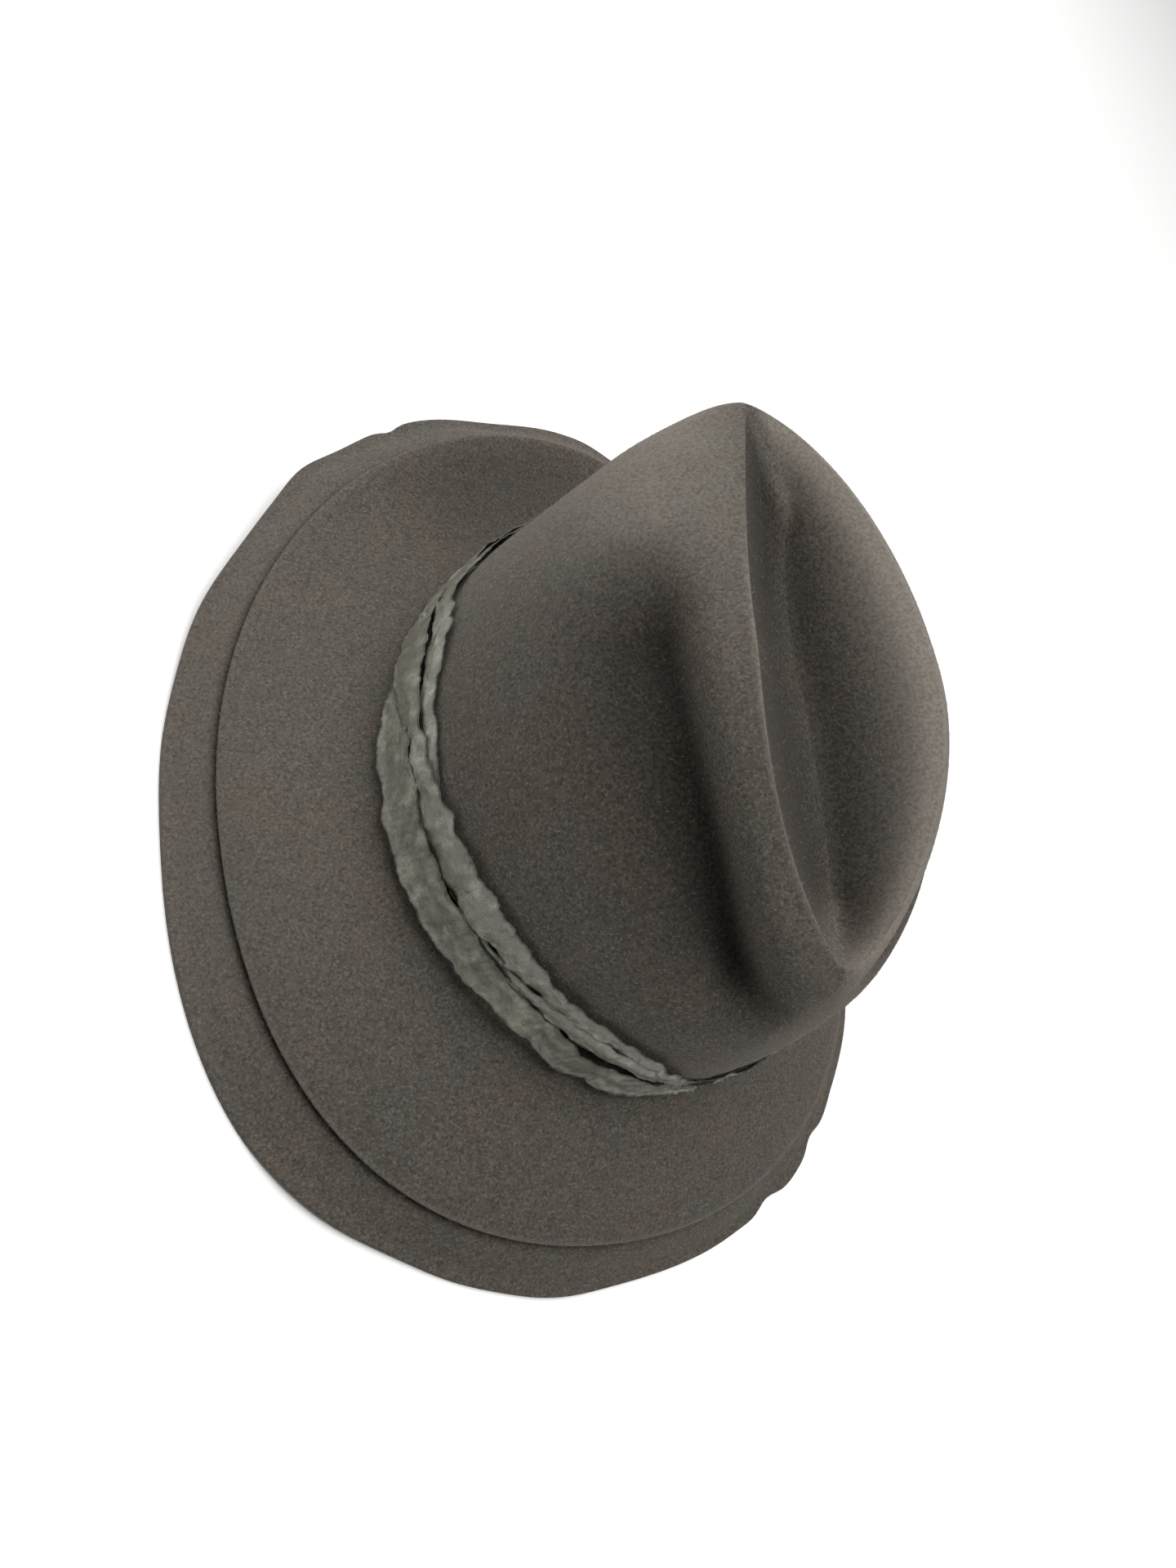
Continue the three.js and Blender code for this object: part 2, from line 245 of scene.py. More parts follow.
# Painted shade darkens the felt in its folds, and painted light makes it paler on its ridges.
PAINTED_SHADE = {
    "dent": (
        Stretch(-1, 1.8, 2.4, 5, 10, 30, 150, 24, 1),
        Stretch(1, 0.7, 1.5, 1.6, 12, 22, 146, 26, 1),
    ),
    "crown": (
        Stretch(-1, 2.1, 0.42, 1.1, -4, 26, 96, 24, 0.88, slant=0.8),
        Stretch(-1, 2.8, 0.9, 1.8, 12, 40, 96, 40, 0.4),
        Stretch(1, 1.9, 0.5, 1, 8, 30, 86, 30, 0.6),
    ),
    "brim": (
        Stretch(-1, 2.9, 1.9, 1.3, 138, 22, 180, 1, 0.4),
        Stretch(1, 2.9, 1.9, 1.3, 158, 22, 180, 1, 0.4),
    ),
}
# Painted light where the felt catches the light, and a worn pale line along the crease.
LIT_AND_WORN = {
    "dent": (Stretch(1, 3.7, 1.25, 1, -10, 30, 166, 14, 0.92),),
    "crown": (
        Stretch(1, 0, 1, 1.2, -10, 30, 166, 14, 0.92),
        Stretch(-1, 0, 0.1, 0.12, 4, 12, 96, 40, 0.5),
        Stretch(-1, 0.45, 0.7, 0.7, 70, 50, 150, 30, 0.14),
        Stretch(-1, 2.1, 1.4, 1.4, 104, 24, 180, 1, 0.5),
    ),
    "brim": (Stretch(-1, 9, 7, 9, 44, 40, 120, 50, 0.2),),
}
EDGE_WAVES = (EdgeWave(5, 280, 0.45), EdgeWave(9, 120, 0.35), EdgeWave(14, 100, 0.2))


@dataclass(frozen=True)
class EdgeBump:
    """A worn bump or notch of the brim's edge: turn and reach in degrees, and how far out it goes in mm."""

    turn: float
    reach: float
    out: float

    def value(self, angle: np.ndarray) -> np.ndarray:
        """How far it moves the edge out at an angle from the front, in metres."""
        off = (-np.degrees(angle) - self.turn + 180) % 360 - 180
        return self.out * MM * np.exp(-((off / self.reach) ** 2))


EDGE_BUMPS = (
    EdgeBump(11, 8, 1.6), EdgeBump(33, 9, -2.4), EdgeBump(64, 14, 3.0), EdgeBump(109, 8, -1.2),
    EdgeBump(127, 9, -3.1), EdgeBump(141, 4.5, 2.2), EdgeBump(155.5, 1.6, -1.6), EdgeBump(174, 9, -2.9),
    EdgeBump(191, 7, 2.2), EdgeBump(299, 9, 2.6), EdgeBump(319, 2.4, -2.2), EdgeBump(332, 2.6, -2.8),
    EdgeBump(344, 6, 0.8),
)


@dataclass(frozen=True)
class HatForm:
    """The upper face of the felt as a function of a place down the rings and an angle from the front.

    The sizes are in metres. Wave_from and bump_from are how far out on the brim its waves and bumps begin,
    pinch_in and pinch_down share a pinch between its two ways, pinch_fade is the ring from which pinches
    are in full, and still_front and wave_fade are degrees.
    """

    head_length: float = 0.198
    head_width: float = 0.173
    crown_height: float = 0.117
    foot_height: float = 0.040
    brim_front: float = 0.0595
    brim_side: float = 0.060
    brim_back: float = 0.0665
    back_lift: float = 0.025
    lift_start: float = 0.15
    felt_thickness: float = 0.0022
    edge_wave: float = 0.0036
    edge_rest: float = 0.12
    edge_ripple: float = 0.0012
    wave_from: float = 0.8
    bump_from: float = 0.76
    pinch_in: float = 0.75
    pinch_down: float = 0.66
    pinch_fade: float = 0.6
    still_front: float = 6
    wave_fade: float = 16

    def edge_lift(self, cosine: np.ndarray) -> np.ndarray:
        """Rise of the brim towards the back, from a little behind the sides."""
        back = np.maximum(0, -cosine - self.lift_start) / (1 - self.lift_start)
        return self.back_lift * back**2

    def foot_level(self, sine: np.ndarray, cosine: np.ndarray) -> np.ndarray:
        """Height of the foot of the crown above the floor.

        Args:
            sine: sines of the angles from the front.
            cosine: their cosines.

        Returns:
            The heights.
        """
        ring = dict(zip(BRIM_COLUMNS, BRIM_RINGS.rings["foot"]))
        return self.brim_level(ring, sine, cosine)

    def brim_level(
        self, ring: dict[str, np.ndarray | float], sine: np.ndarray, cosine: np.ndarray
    ) -> np.ndarray:
        """Height of a ring of the brim above the floor.

        Args:
            ring: its columns.
            sine: sines of the angles from the front.
            cosine: their cosines.

        Returns:
            The heights.
        """
        end = np.where(cosine > 0, ring["z_front"], ring["z_back"])
        share = end * cosine**2 + ring["z_side"] * sine**2
        rise = (self.foot_height - self.felt_thickness) * share
        return self.felt_thickness + self.edge_lift(cosine) + rise

    def crown_ring(self, ring: dict[str, np.ndarray], angle: np.ndarray) -> np.ndarray:
        """Points of the crown or its dent, before the pinches.

        Args:
            ring: the columns of a ring table, each of the shape of angle.
            angle: angles from the front in radians, towards the wearer's left.

        Returns:
            The points, with x, y and z last.
        """
        sine, cosine = np.sin(angle), np.cos(angle)
        left = sine > 0
        lean = 1 + np.where(left, ring["lean_left"], ring["lean_right"]) * cosine
        point = np.where(left, ring["point_left"], ring["point_right"])
        width = np.where(left, ring["left"], ring["right"])
        width = width * np.sign(sine) * np.abs(sine) ** point * lean
        length = np.where(cosine > 0, ring["front"], ring["back"])
        end = np.where(cosine > 0, ring["z_front"], ring["z_back"])
        side = np.where(left, ring["z_left"], ring["z_right"])
        share = end * cosine**2 + side * sine**2
        return np.stack([
            self.head_width / 2 * (width + ring["shift"]),
            -self.head_length / 2 * length * cosine,
            self.foot_level(sine, cosine) + self.crown_height * share,
        ], axis=-1)

    def pinch_push(self, place: np.ndarray, angle: np.ndarray) -> np.ndarray:
        """How far the pinches push points of the crown in and down.

        Args:
            place: places down the crown's rings.
            angle: angles from the front in radians.

        Returns:
            The moves, with x, y and z last.
        """
        sine, cosine = np.sin(angle), np.cos(angle)
        push = sum(pinch.value(place, angle) for pinch in PINCHES)
        push = push * self.crown_height * smooth_step(place / self.pinch_fade)
        way = [-self.pinch_in * sine, self.pinch_in * cosine, -self.pinch_down + 0 * sine]
        return push[..., None] * np.stack(way, axis=-1)

    def dent(self, place: np.ndarray, angle: np.ndarray) -> np.ndarray:
        """Points of the dent, from its floor at place 0 to the crease."""
        return self.crown_ring(DENT_RINGS.read(place), angle)

    def crown(self, place: np.ndarray, angle: np.ndarray) -> np.ndarray:
        """Points of the crown, from the crease at place 0 to the foot."""
        return self.crown_ring(CROWN_RINGS.read(place), angle) + self.pinch_push(place, angle)

    def edge_swing(self, angle: np.ndarray) -> np.ndarray:
        """Wave of the brim's edge between -1 and 1, dying away at the very front."""
        swing = sum(w.weight * np.sin(w.turns * angle + math.radians(w.phase)) for w in EDGE_WAVES)
        return swing * smooth_step((turned_from_front(angle) - self.still_front) / self.wave_fade)

    def brim(self, place: np.ndarray, angle: np.ndarray, lit_and_worn: bool = False) -> np.ndarray:
        """Points of the brim.

        Args:
            place: places from the foot of the crown at 0 to the edge.
            angle: angles from the front in radians.
            lit_and_worn: whether the edge has its small bumps and notches.

        Returns:
            The points.
        """
        ring = BRIM_RINGS.read(place)
        sine, cosine = np.sin(angle), np.cos(angle)
        front, right = cosine > 0, sine < 0
        quarter = np.where(
            front,
            np.where(right, ring[Quarter.FRONT_RIGHT.value], ring[Quarter.FRONT_LEFT.value]),
            np.where(right, ring[Quarter.BACK_RIGHT.value], ring[Quarter.BACK_LEFT.value]),
        )
        square = 1 + quarter * np.sin(2 * angle) ** 2
        swing = self.edge_swing(angle) * smooth_step((ring["out"] - self.wave_from) / (1 - self.wave_from))
        ripple = self.edge_ripple * swing
        if lit_and_worn:
            near_edge = smooth_step((ring["out"] - self.bump_from) / (1 - self.bump_from))
            ripple = ripple + sum(bump.value(angle) for bump in EDGE_BUMPS) * near_edge
        half_width = self.head_width / 2 + self.brim_side * ring["out"]
        half_length = self.head_length / 2 + np.where(front, self.brim_front, self.brim_back) * ring["out"]
        level = self.brim_level(ring, sine, cosine)
        return np.stack([
            sine * (half_width * square + ripple),
            -cosine * (half_length * square + ripple),
            level + self.edge_wave * np.maximum(0, swing - self.edge_rest),
        ], axis=-1)


FORM = HatForm()


@dataclass(frozen=True)
class Tone:
    """A colour as linear red, green and blue."""

    red: float
    green: float
    blue: float

    def rgba(self, gain: float = 1.0) -> tuple[float, float, float, float]:
        """The colour for a node's socket, brightened by gain."""
        return (self.red * gain, self.green * gain, self.blue * gain, 1.0)


@dataclass(frozen=True)
class Grain:
    """How fine a noise is: its scale in waves per metre, its octaves and its roughness."""

    scale: float
    detail: float
    roughness: float


@dataclass(frozen=True)
class Span:
    """Moves values from low to high to between two others, and holds them there."""

    low: float
    high: float
    to_low: float
    to_high: float


@dataclass(frozen=True)
class Relief:
    """A fine relief that only shades the surface: its strength and its height in metres."""

    strength: float
    height: float


class Nodes:
    """Adds and joins the nodes of one tree."""

    def __init__(self, tree: bpy.types.NodeTree) -> None:
        """Starts with the tree as it is."""
        self.tree = tree

    def add(
        self, kind: str, inputs: dict[str | int, object] | None = None, **settings: object
    ) -> bpy.types.Node:
        """Adds a node.

        Args:
            kind: the node's type name.
            inputs: sockets by name or number, each with a value or another node's output to join.
            settings: properties of the node.

        Returns:
            The new node.
        """
        node = self.tree.nodes.new(kind)
        for name, value in settings.items():
            setattr(node, name, value)
        self.fill(node, inputs or {})
        return node

    def fill(self, node: bpy.types.Node, inputs: dict[str | int, object]) -> None:
        """Gives a node's sockets their values, or joins them to other nodes.

        Args:
            node: the node.
            inputs: as in add.
        """
        for name, value in inputs.items():
            self.put(node.inputs[name], value)

    def put(self, socket: bpy.types.NodeSocket, value: object) -> None:
        """Gives a socket a value, or joins it to another node's output.

        Args:
            socket: an input.
            value: a number, a colour or an output.
        """
        if isinstance(value, bpy.types.NodeSocket):
            self.tree.links.new(value, socket)
        else:
            socket.default_value = value

    def math(self, operation: str, first: object, second: object = 0.0) -> bpy.types.NodeSocket:
        """A math node's result."""
        return self.add("ShaderNodeMath", {0: first, 1: second}, operation=operation).outputs[0]

    def spread(self, value: object, span: Span) -> bpy.types.NodeSocket:
        """A value moved by a span.

        Args:
            value: the value.
            span: where it comes from and goes to.

        Returns:
            The moved value.
        """
        inputs = {
            "Value": value,
            "From Min": span.low,
            "From Max": span.high,
            "To Min": span.to_low,
            "To Max": span.to_high,
        }
        return self.add("ShaderNodeMapRange", inputs).outputs["Result"]

    def blend(self, share: object, first: object, second: object) -> bpy.types.NodeSocket:
        """Two colours mixed by a share.

        Args:
            share: how much of the second, from 0 to 1.
            first: a colour.
            second: another.

        Returns:
            The mixed colour.
        """
        node = self.add("ShaderNodeMix", data_type="RGBA")
        factor, colour_a, colour_b, result = node.inputs[0], node.inputs[6], node.inputs[7], node.outputs[2]
        for socket, value in ((factor, share), (colour_a, first), (colour_b, second)):
            self.put(socket, value)
        return result

    def noise(self, vector: object, grain: Grain) -> bpy.types.NodeSocket:
        """A noise's value at a vector."""
        inputs = {
            "Vector": vector, "Scale": grain.scale, "Detail": grain.detail, "Roughness": grain.roughness,
        }
        return self.add("ShaderNodeTexNoise", inputs).outputs["Fac"]

    def relief(self, pattern: object, relief: Relief, below: object | None = None) -> bpy.types.NodeSocket:
        """A normal that shades a relief.

        Args:
            pattern: a value that is high where the relief is high.
            relief: its strength and height.
            below: the normal of another relief that it lies on.

        Returns:
            The normal.
        """
        inputs = {"Strength": relief.strength, "Distance": relief.height, "Height": pattern}
        if below is not None:
            inputs["Normal"] = below
        return self.add("ShaderNodeBump", inputs).outputs["Normal"]

    def weigh(self, first: object, weight: float, second: object, other: float) -> bpy.types.NodeSocket:
        """Two values, each times its own weight, added up."""
        return self.math("ADD", self.math("MULTIPLY", first, weight), self.math("MULTIPLY", second, other))

    def value(self, name: str) -> bpy.types.NodeSocket:
        """A piece's own number, stored on its points by name."""
        return self.add("ShaderNodeAttribute", attribute_name=name).outputs["Fac"]

    def place(self) -> bpy.types.NodeSocket:
        """The place on the piece, in the frame's metres."""
        return self.add("ShaderNodeTexCoord").outputs["Object"]


def new_material(name: str) -> tuple[bpy.types.Material, Nodes, bpy.types.Node]:
    """A material with an empty tree but for one Principled shader and its output.

    Args:
        name: the material's name.

    Returns:
        The material, its nodes, and the shader.
    """
    material = bpy.data.materials.new(name)
    material.use_nodes = True
    nodes = Nodes(material.node_tree)
    material.node_tree.nodes.clear()
    shader = nodes.add("ShaderNodeBsdfPrincipled")
    nodes.add("ShaderNodeOutputMaterial", {"Surface": shader.outputs["BSDF"]})
    return material, nodes, shader


@dataclass(frozen=True)
class FeltFinish:
    """Brushed fur felt: a warm dark grey with soft mottling, fine grain and pale specks."""

    base: Tone = Tone(0.1035, 0.0875, 0.0695)
    cool: Tone = Tone(0.091, 0.0855, 0.0745)
    deep: Tone = Tone(0.031, 0.0265, 0.0225)
    pale: Tone = Tone(0.170, 0.152, 0.130)
    sheen: Tone = Tone(0.85, 0.76, 0.66)
    # How pale the painted light gets, and how dark the painted shade in the folds and the brim's groove.
    pale_gain: float = 1.35
    shade_gain: float = 0.45
    crevice_shade_share: float = 0.8
    clouds: Grain = Grain(38, 4, 0.6)
    mottle: Grain = Grain(230, 5, 0.65)
    grain: Grain = Grain(900, 3, 0.6)
    specks: Grain = Grain(1100, 2, 0.5)
    dimples: Grain = Grain(90, 3, 0.5)
    clouds_cool: Span = Span(0.35, 0.65, 0, 1)
    mottle_deep: Span = Span(0.3, 0.7, 0.34, 0)
    grain_deep: Span = Span(0.36, 0.52, 0.6, 0)
    specks_pale: Span = Span(0.52, 0.68, 0, 0.6)
    grain_lit: Span = Span(0.4, 0.6, 0, 1)
    grain_shade: Span = Span(0.38, 0.6, 0.96, 0.74)
    mottle_height: float = 0.5
    grain_height: float = 0.5
    fine_relief: Relief = Relief(0.55, 0.25 * MM)
    dimple_relief: Relief = Relief(0.35, 0.6 * MM)
    roughness: float = 0.95
    specular: float = 0.12
    sheen_weight: float = 0.1
    sheen_roughness: float = 0.55

    def colour(self, nodes: Nodes, mottle: object, grain: object) -> bpy.types.NodeSocket:
        """The felt's colour, with painted shade in the folds and painted light and wear on the ridges.

        Args:
            nodes: the material's nodes.
            mottle: its mottling noise.
            grain: its fine noise.

        Returns:
            The colour.
        """
        place = nodes.place()
        base, cool, deep, pale = (tone.rgba() for tone in (self.base, self.cool, self.deep, self.pale))
        colour = nodes.blend(nodes.spread(nodes.noise(place, self.clouds), self.clouds_cool), base, cool)
        colour = nodes.blend(nodes.spread(mottle, self.mottle_deep), colour, deep)
        colour = nodes.blend(nodes.spread(grain, self.grain_deep), colour, deep)
        colour = nodes.blend(nodes.spread(nodes.noise(place, self.specks), self.specks_pale), colour, pale)
        # Painted light, with a little wear along the crease, broken up by the grain.
        lit_and_worn = nodes.blend(nodes.spread(grain, self.grain_lit), pale, self.pale.rgba(self.pale_gain))
        colour = nodes.blend(nodes.value("lit_and_worn"), colour, lit_and_worn)
        # Painted shade in the crevice under the brim's fold.
        crevice_shade = nodes.math("MULTIPLY", nodes.value("crevice_shade"), self.crevice_shade_share)
        colour = nodes.blend(crevice_shade, colour, deep)
        # Painted shade in the folds and the brim's back hollow, broken up a little by the grain.
        shade_share = nodes.math("MULTIPLY", nodes.value("painted_shade"), nodes.spread(grain, self.grain_shade))
        return nodes.blend(shade_share, colour, self.deep.rgba(self.shade_gain))

    def material(self) -> bpy.types.Material:
        """The felt's material, which reads the felt's numbers for painted shade and painted light with
        wear.

        Returns:
            The material.
        """
        material, nodes, shader = new_material("felt")
        place = nodes.place()
        mottle, grain = nodes.noise(place, self.mottle), nodes.noise(place, self.grain)
        height = nodes.weigh(mottle, self.mottle_height, grain, self.grain_height)
        fine = nodes.relief(height, self.fine_relief)
        nodes.fill(shader, {
            "Base Color": self.colour(nodes, mottle, grain),
            "Roughness": self.roughness,
            "Specular IOR Level": self.specular,
            "Sheen Weight": self.sheen_weight,
            "Sheen Roughness": self.sheen_roughness,
            "Sheen Tint": self.sheen.rgba(),
            "Normal": nodes.relief(nodes.noise(place, self.dimples), self.dimple_relief, fine),
        })
        return material


@dataclass(frozen=True)
class NapFinish:
    """The fibres that stand out of the felt, lighter on some than on others."""

    dark: Tone = Tone(0.105, 0.092, 0.077)
    light: Tone = Tone(0.38, 0.34, 0.29)
    tufts: Grain = Grain(900, 1, 0.5)
    tufts_light: Span = Span(0.35, 0.65, 0, 1)
    roughness: float = 0.8
    specular: float = 0.2

    def material(self) -> bpy.types.Material:
        """The fibres' material.

        Returns:
            The material.
        """
        material, nodes, shader = new_material("felt nap")
        tint = nodes.spread(nodes.noise(nodes.place(), self.tufts), self.tufts_light)
        nodes.fill(shader, {
            "Base Color": nodes.blend(tint, self.dark.rgba(), self.light.rgba()),
            "Roughness": self.roughness,
            "Specular IOR Level": self.specular,
        })
        return material


@dataclass(frozen=True)
class SatinFinish:
    """Crinkled greyish olive satin: fine ribs across it, painted glints, painted shade at its frayed edges.
    """

    base: Tone = Tone(0.182, 0.178, 0.139)
    # The pale tone of the painted glints.
    lit_and_worn: Tone = Tone(0.46, 0.45, 0.365)
    deep: Tone = Tone(0.018, 0.0175, 0.014)
    rib: float = 0.62 * MM
    wander_turn: float = 9.0
    edge_shade_share: float = 0.85
    wander: Grain = Grain(160, 3, 0.6)
    patches: Grain = Grain(120, 5, 0.68)
    grain: Grain = Grain(1800, 3, 0.6)
    gloss: Grain = Grain(300, 3, 0.6)
    creases: Grain = Grain(420, 4, 0.62)
    patches_lit: Span = Span(0.5, 0.66, 0, 0.7)
    ribs_deep: Span = Span(-1, 0.2, 0.3, 0)
    grain_deep: Span = Span(0.3, 0.5, 0.4, 0)
    gloss_rough: Span = Span(0.35, 0.65, 0.24, 0.42)
    rib_height: float = 0.12
    grain_height: float = 0.5
    rib_relief: Relief = Relief(0.7, 0.15 * MM)
    crease_relief: Relief = Relief(0.6, 0.5 * MM)
    specular: float = 0.65

    def ribs(self, nodes: Nodes) -> bpy.types.NodeSocket:
        """The fine ribs across the strip, which wander a little.

        Args:
            nodes: the material's nodes.

        Returns:
            A wave between -1 and 1 along the strip's own map.
        """
        strip = nodes.add("ShaderNodeUVMap", uv_map="strip").outputs["UV"]
        parts = nodes.add("ShaderNodeSeparateXYZ", {0: strip})
        along = nodes.math("MULTIPLY", parts.outputs["X"], 2 * math.pi / self.rib)
        wander = nodes.math("MULTIPLY", nodes.noise(nodes.place(), self.wander), self.wander_turn)
        return nodes.math("SINE", nodes.math("ADD", along, wander))

    def material(self) -> bpy.types.Material:
        """The satin's material, which reads the strip's own map in metres and its painted edge shade.

        Returns:
            The material.
        """
        material, nodes, shader = new_material("satin")
        place, rib, deep = nodes.place(), self.ribs(nodes), self.deep.rgba()
        grain = nodes.noise(place, self.grain)
        # Painted glints: pale patches where the crinkled satin catches the light.
        patches = nodes.spread(nodes.noise(place, self.patches), self.patches_lit)
        colour = nodes.blend(patches, self.base.rgba(), self.lit_and_worn.rgba())
        colour = nodes.blend(nodes.spread(rib, self.ribs_deep), colour, deep)
        colour = nodes.blend(nodes.spread(grain, self.grain_deep), colour, deep)
        # Painted shade along the strip's edges.
        colour = nodes.blend(nodes.math("MULTIPLY", nodes.value("edge_shade"), self.edge_shade_share), colour, deep)
        fine = nodes.relief(nodes.weigh(rib, self.rib_height, grain, self.grain_height), self.rib_relief)
        nodes.fill(shader, {
            "Base Color": colour,
            "Roughness": nodes.spread(nodes.noise(place, self.gloss), self.gloss_rough),
            "Specular IOR Level": self.specular,
            "Normal": nodes.relief(nodes.noise(place, self.creases), self.crease_relief, fine),
        })
        return material


def mesh_object(
    name: str, points: np.ndarray, faces: list[tuple[int, ...]] | np.ndarray, material: bpy.types.Material
) -> bpy.types.Object:
    """Makes a smooth-shaded mesh object at the origin.

    Args:
        name: the piece's name.
        points: its points in the row frame, in metres.
        faces: its faces, as the numbers of their points.
        material: its finish.

    Returns:
        The object, linked to the scene.
    """
    mesh = bpy.data.meshes.new(name)
    mesh.from_pydata(points.tolist(), [], [tuple(f) for f in faces])
    mesh.validate()
    mesh.polygons.foreach_set("use_smooth", [True] * len(mesh.polygons))
    mesh.materials.append(material)
    piece = bpy.data.objects.new(name, mesh)
    bpy.context.scene.collection.objects.link(piece)
    return piece


def put_values(piece: bpy.types.Object, name: str, values: np.ndarray) -> None:
    """Stores one number for each point of a piece."""
    attribute = piece.data.attributes.new(name, "FLOAT", "POINT")
    attribute.data.foreach_set("value", values.astype(np.float32))


def grid_normals(points: np.ndarray) -> np.ndarray:
    """Upward normals of a grid of points whose columns close round the hat.

    Args:
        points: rows of points from the inside out.

    Returns:
        A unit normal for each point.
    """
    out = np.gradient(points, axis=0)
    round_hat = np.roll(points, -1, axis=1) - np.roll(points, 1, axis=1)
    normal = np.cross(out, round_hat)
    return normal / np.maximum(np.linalg.norm(normal, axis=-1, keepdims=True), 1e-12)


@dataclass(frozen=True)
class FeltHat:
    """Crown and brim in one felt, with its cut edge and the nap that stands on it.

    The under face keeps every so many rows, and none of the brim's between the places step_start and
    step_end. Bare_rows at the edge carry no nap. From settle_hold on, as a share of its rows, the dent
    keeps its form more and more. The groove's numbers place painted shade in the crevice under the
    brim's fold, and the rim's numbers a painted highlight along the fold. They are in rings, turn and
    fade in degrees.
    """

    columns: int = 360
    dent_rows: int = 44
    crown_rows: int = 80
    brim_rows: int = 84
    under_every: int = 5
    crown_under_every: int = 3
    bare_rows: int = 3
    step_start: float = 4.6
    step_end: float = 9.4
    ridge_gather: float = 1.15
    settle_rounds: int = 110
    settle_hold: float = 0.55
    settle_fade: float = 0.42
    groove_inside: float = 0.2
    groove_reach: float = 1.1
    rim_inside: float = 0.3
    rim_reach: float = 0.45
    rim_highlight: float = 0.35
    rim_turn: float = 40
    rim_fade: float = 60

    def settled(self, dent: np.ndarray) -> np.ndarray:
        """The dent with its floor rounded, as felt that is pressed in by hand.

        Args:
            dent: the dent's rows, of which the first is folded shut.

        Returns:
            The rows, of which the last few are nearly as before.
        """
        mirror = -np.arange(self.columns) % self.columns
        row = np.arange(self.dent_rows)
        hold = smooth_step((row - self.settle_hold * self.dent_rows) / (self.settle_fade * self.dent_rows))
        hold = hold[:, None, None]
        for _ in range(self.settle_rounds):
            before = np.concatenate([dent[1:2, mirror], dent[:-1]])
            after = np.concatenate([dent[1:], dent[-1:]])
            mean = (before + after + np.roll(dent, 1, axis=1) + np.roll(dent, -1, axis=1)) / 4
            dent = mean + (dent - mean) * hold
        return dent

    def top_rows(self) -> tuple[np.ndarray, dict[str, np.ndarray]]:
        """The upper face from the floor of the dent to the edge.

        Returns:
            The grid of points, and the painted shade, painted light and wear that each point has.
        """
        angle = np.linspace(0, 2 * math.pi, self.columns, endpoint=False)[None, :]
        dent_share = np.linspace(0, 1, self.dent_rows, endpoint=False)[:, None]
        crown_share = np.linspace(0, 1, self.crown_rows, endpoint=False)[:, None] ** self.ridge_gather
        places = {
            "dent": DENT_RINGS.last() * dent_share,
            "crown": CROWN_RINGS.last() * crown_share,
            "brim": np.linspace(0, BRIM_RINGS.last(), self.brim_rows)[:, None],
        }
        dent, crown, brim = (place + 0 * angle for place in places.values())
        rows = np.vstack([
            self.settled(FORM.dent(dent, angle + 0 * dent)),
            FORM.crown(crown, angle + 0 * crown),
            FORM.brim(brim, angle + 0 * brim, lit_and_worn=True),
        ])
        # Painted shade in the folds and painted light on the ridges, from their tables.
        painted_shade, lit_and_worn = (
            np.vstack([sum(s.value(place, angle) for s in spots[name]) for name, place in places.items()])
            for spots in (PAINTED_SHADE, LIT_AND_WORN)
        )
        fold_at, groove_at = BRIM_RINGS.place("fold"), BRIM_RINGS.place("groove")
        # A painted highlight along the rim of the brim's fold, fading away from the front.
        rim = np.exp(-(((places["brim"] - fold_at + self.rim_inside) / self.rim_reach) ** 2))
        near_front = 1 - smooth_step((turned_from_front(angle) - self.rim_turn) / self.rim_fade)
        lit_and_worn[-self.brim_rows:] += self.rim_highlight * rim * near_front
        # Painted shade in the crevice under the brim's fold, round its groove.
        from_groove = (places["brim"] - groove_at + self.groove_inside) / self.groove_reach
        crevice_shade = 0 * lit_and_worn
        crevice_shade[-self.brim_rows:] += np.exp(-(from_groove**2))
        return rows, {"crevice_shade": crevice_shade, "lit_and_worn": np.clip(lit_and_worn, 0, 1), "painted_shade": np.clip(painted_shade, 0, 1)}

    def vertex(self, row: np.ndarray, column: np.ndarray) -> np.ndarray:
        """Numbers of a grid's points. The first row is folded shut, so its two sides share their points."""
        index = column % self.columns
        return np.where(row == 0, np.minimum(index, self.columns - index), row * self.columns + index)

    def sheet_faces(self, rows: np.ndarray, turned: bool) -> list[tuple[int, ...]]:
        """Faces between chosen rows of the grid.

        Args:
            rows: the rows' numbers, from the inside out.
            turned: whether the faces point down.

        Returns:
            The faces, with doubled points taken out.
        """
        inner, column = np.meshgrid(np.arange(len(rows) - 1), np.arange(self.columns), indexing="ij")
        corners = [
            self.vertex(rows[inner], column),
            self.vertex(rows[inner + 1], column),
            self.vertex(rows[inner + 1], column + 1),
            self.vertex(rows[inner], column + 1),
        ]
        quads = np.stack(corners, axis=-1).reshape(-1, 4)
        faces = []
        for quad in quads.tolist():
            kept = list(dict.fromkeys(quad))
            if len(kept) > 2:
                faces.append(tuple(reversed(kept)) if turned else tuple(kept))
        return faces

    def under_rows(self, last: int) -> np.ndarray:
        """Rows that the under face keeps, which needs fewer of them than the upper face.

        Args:
            last: number of the last row.

        Returns:
            The rows' numbers. None lies in the step of the brim, where the under face would cross itself.
        """
        crown_start, brim_start = self.dent_rows, self.dent_rows + self.crown_rows
        step = np.array([self.step_start, self.step_end]) / BRIM_RINGS.last() * (self.brim_rows - 1)
        step_first, step_last = brim_start + np.round(step).astype(int)
        rows = list(range(0, crown_start, self.under_every))
        rows += range(crown_start, brim_start, self.crown_under_every)
        brim = range(brim_start, last, self.under_every)
        rows += [row for row in brim if not step_first < row < step_last]
        return np.array(rows + [last])

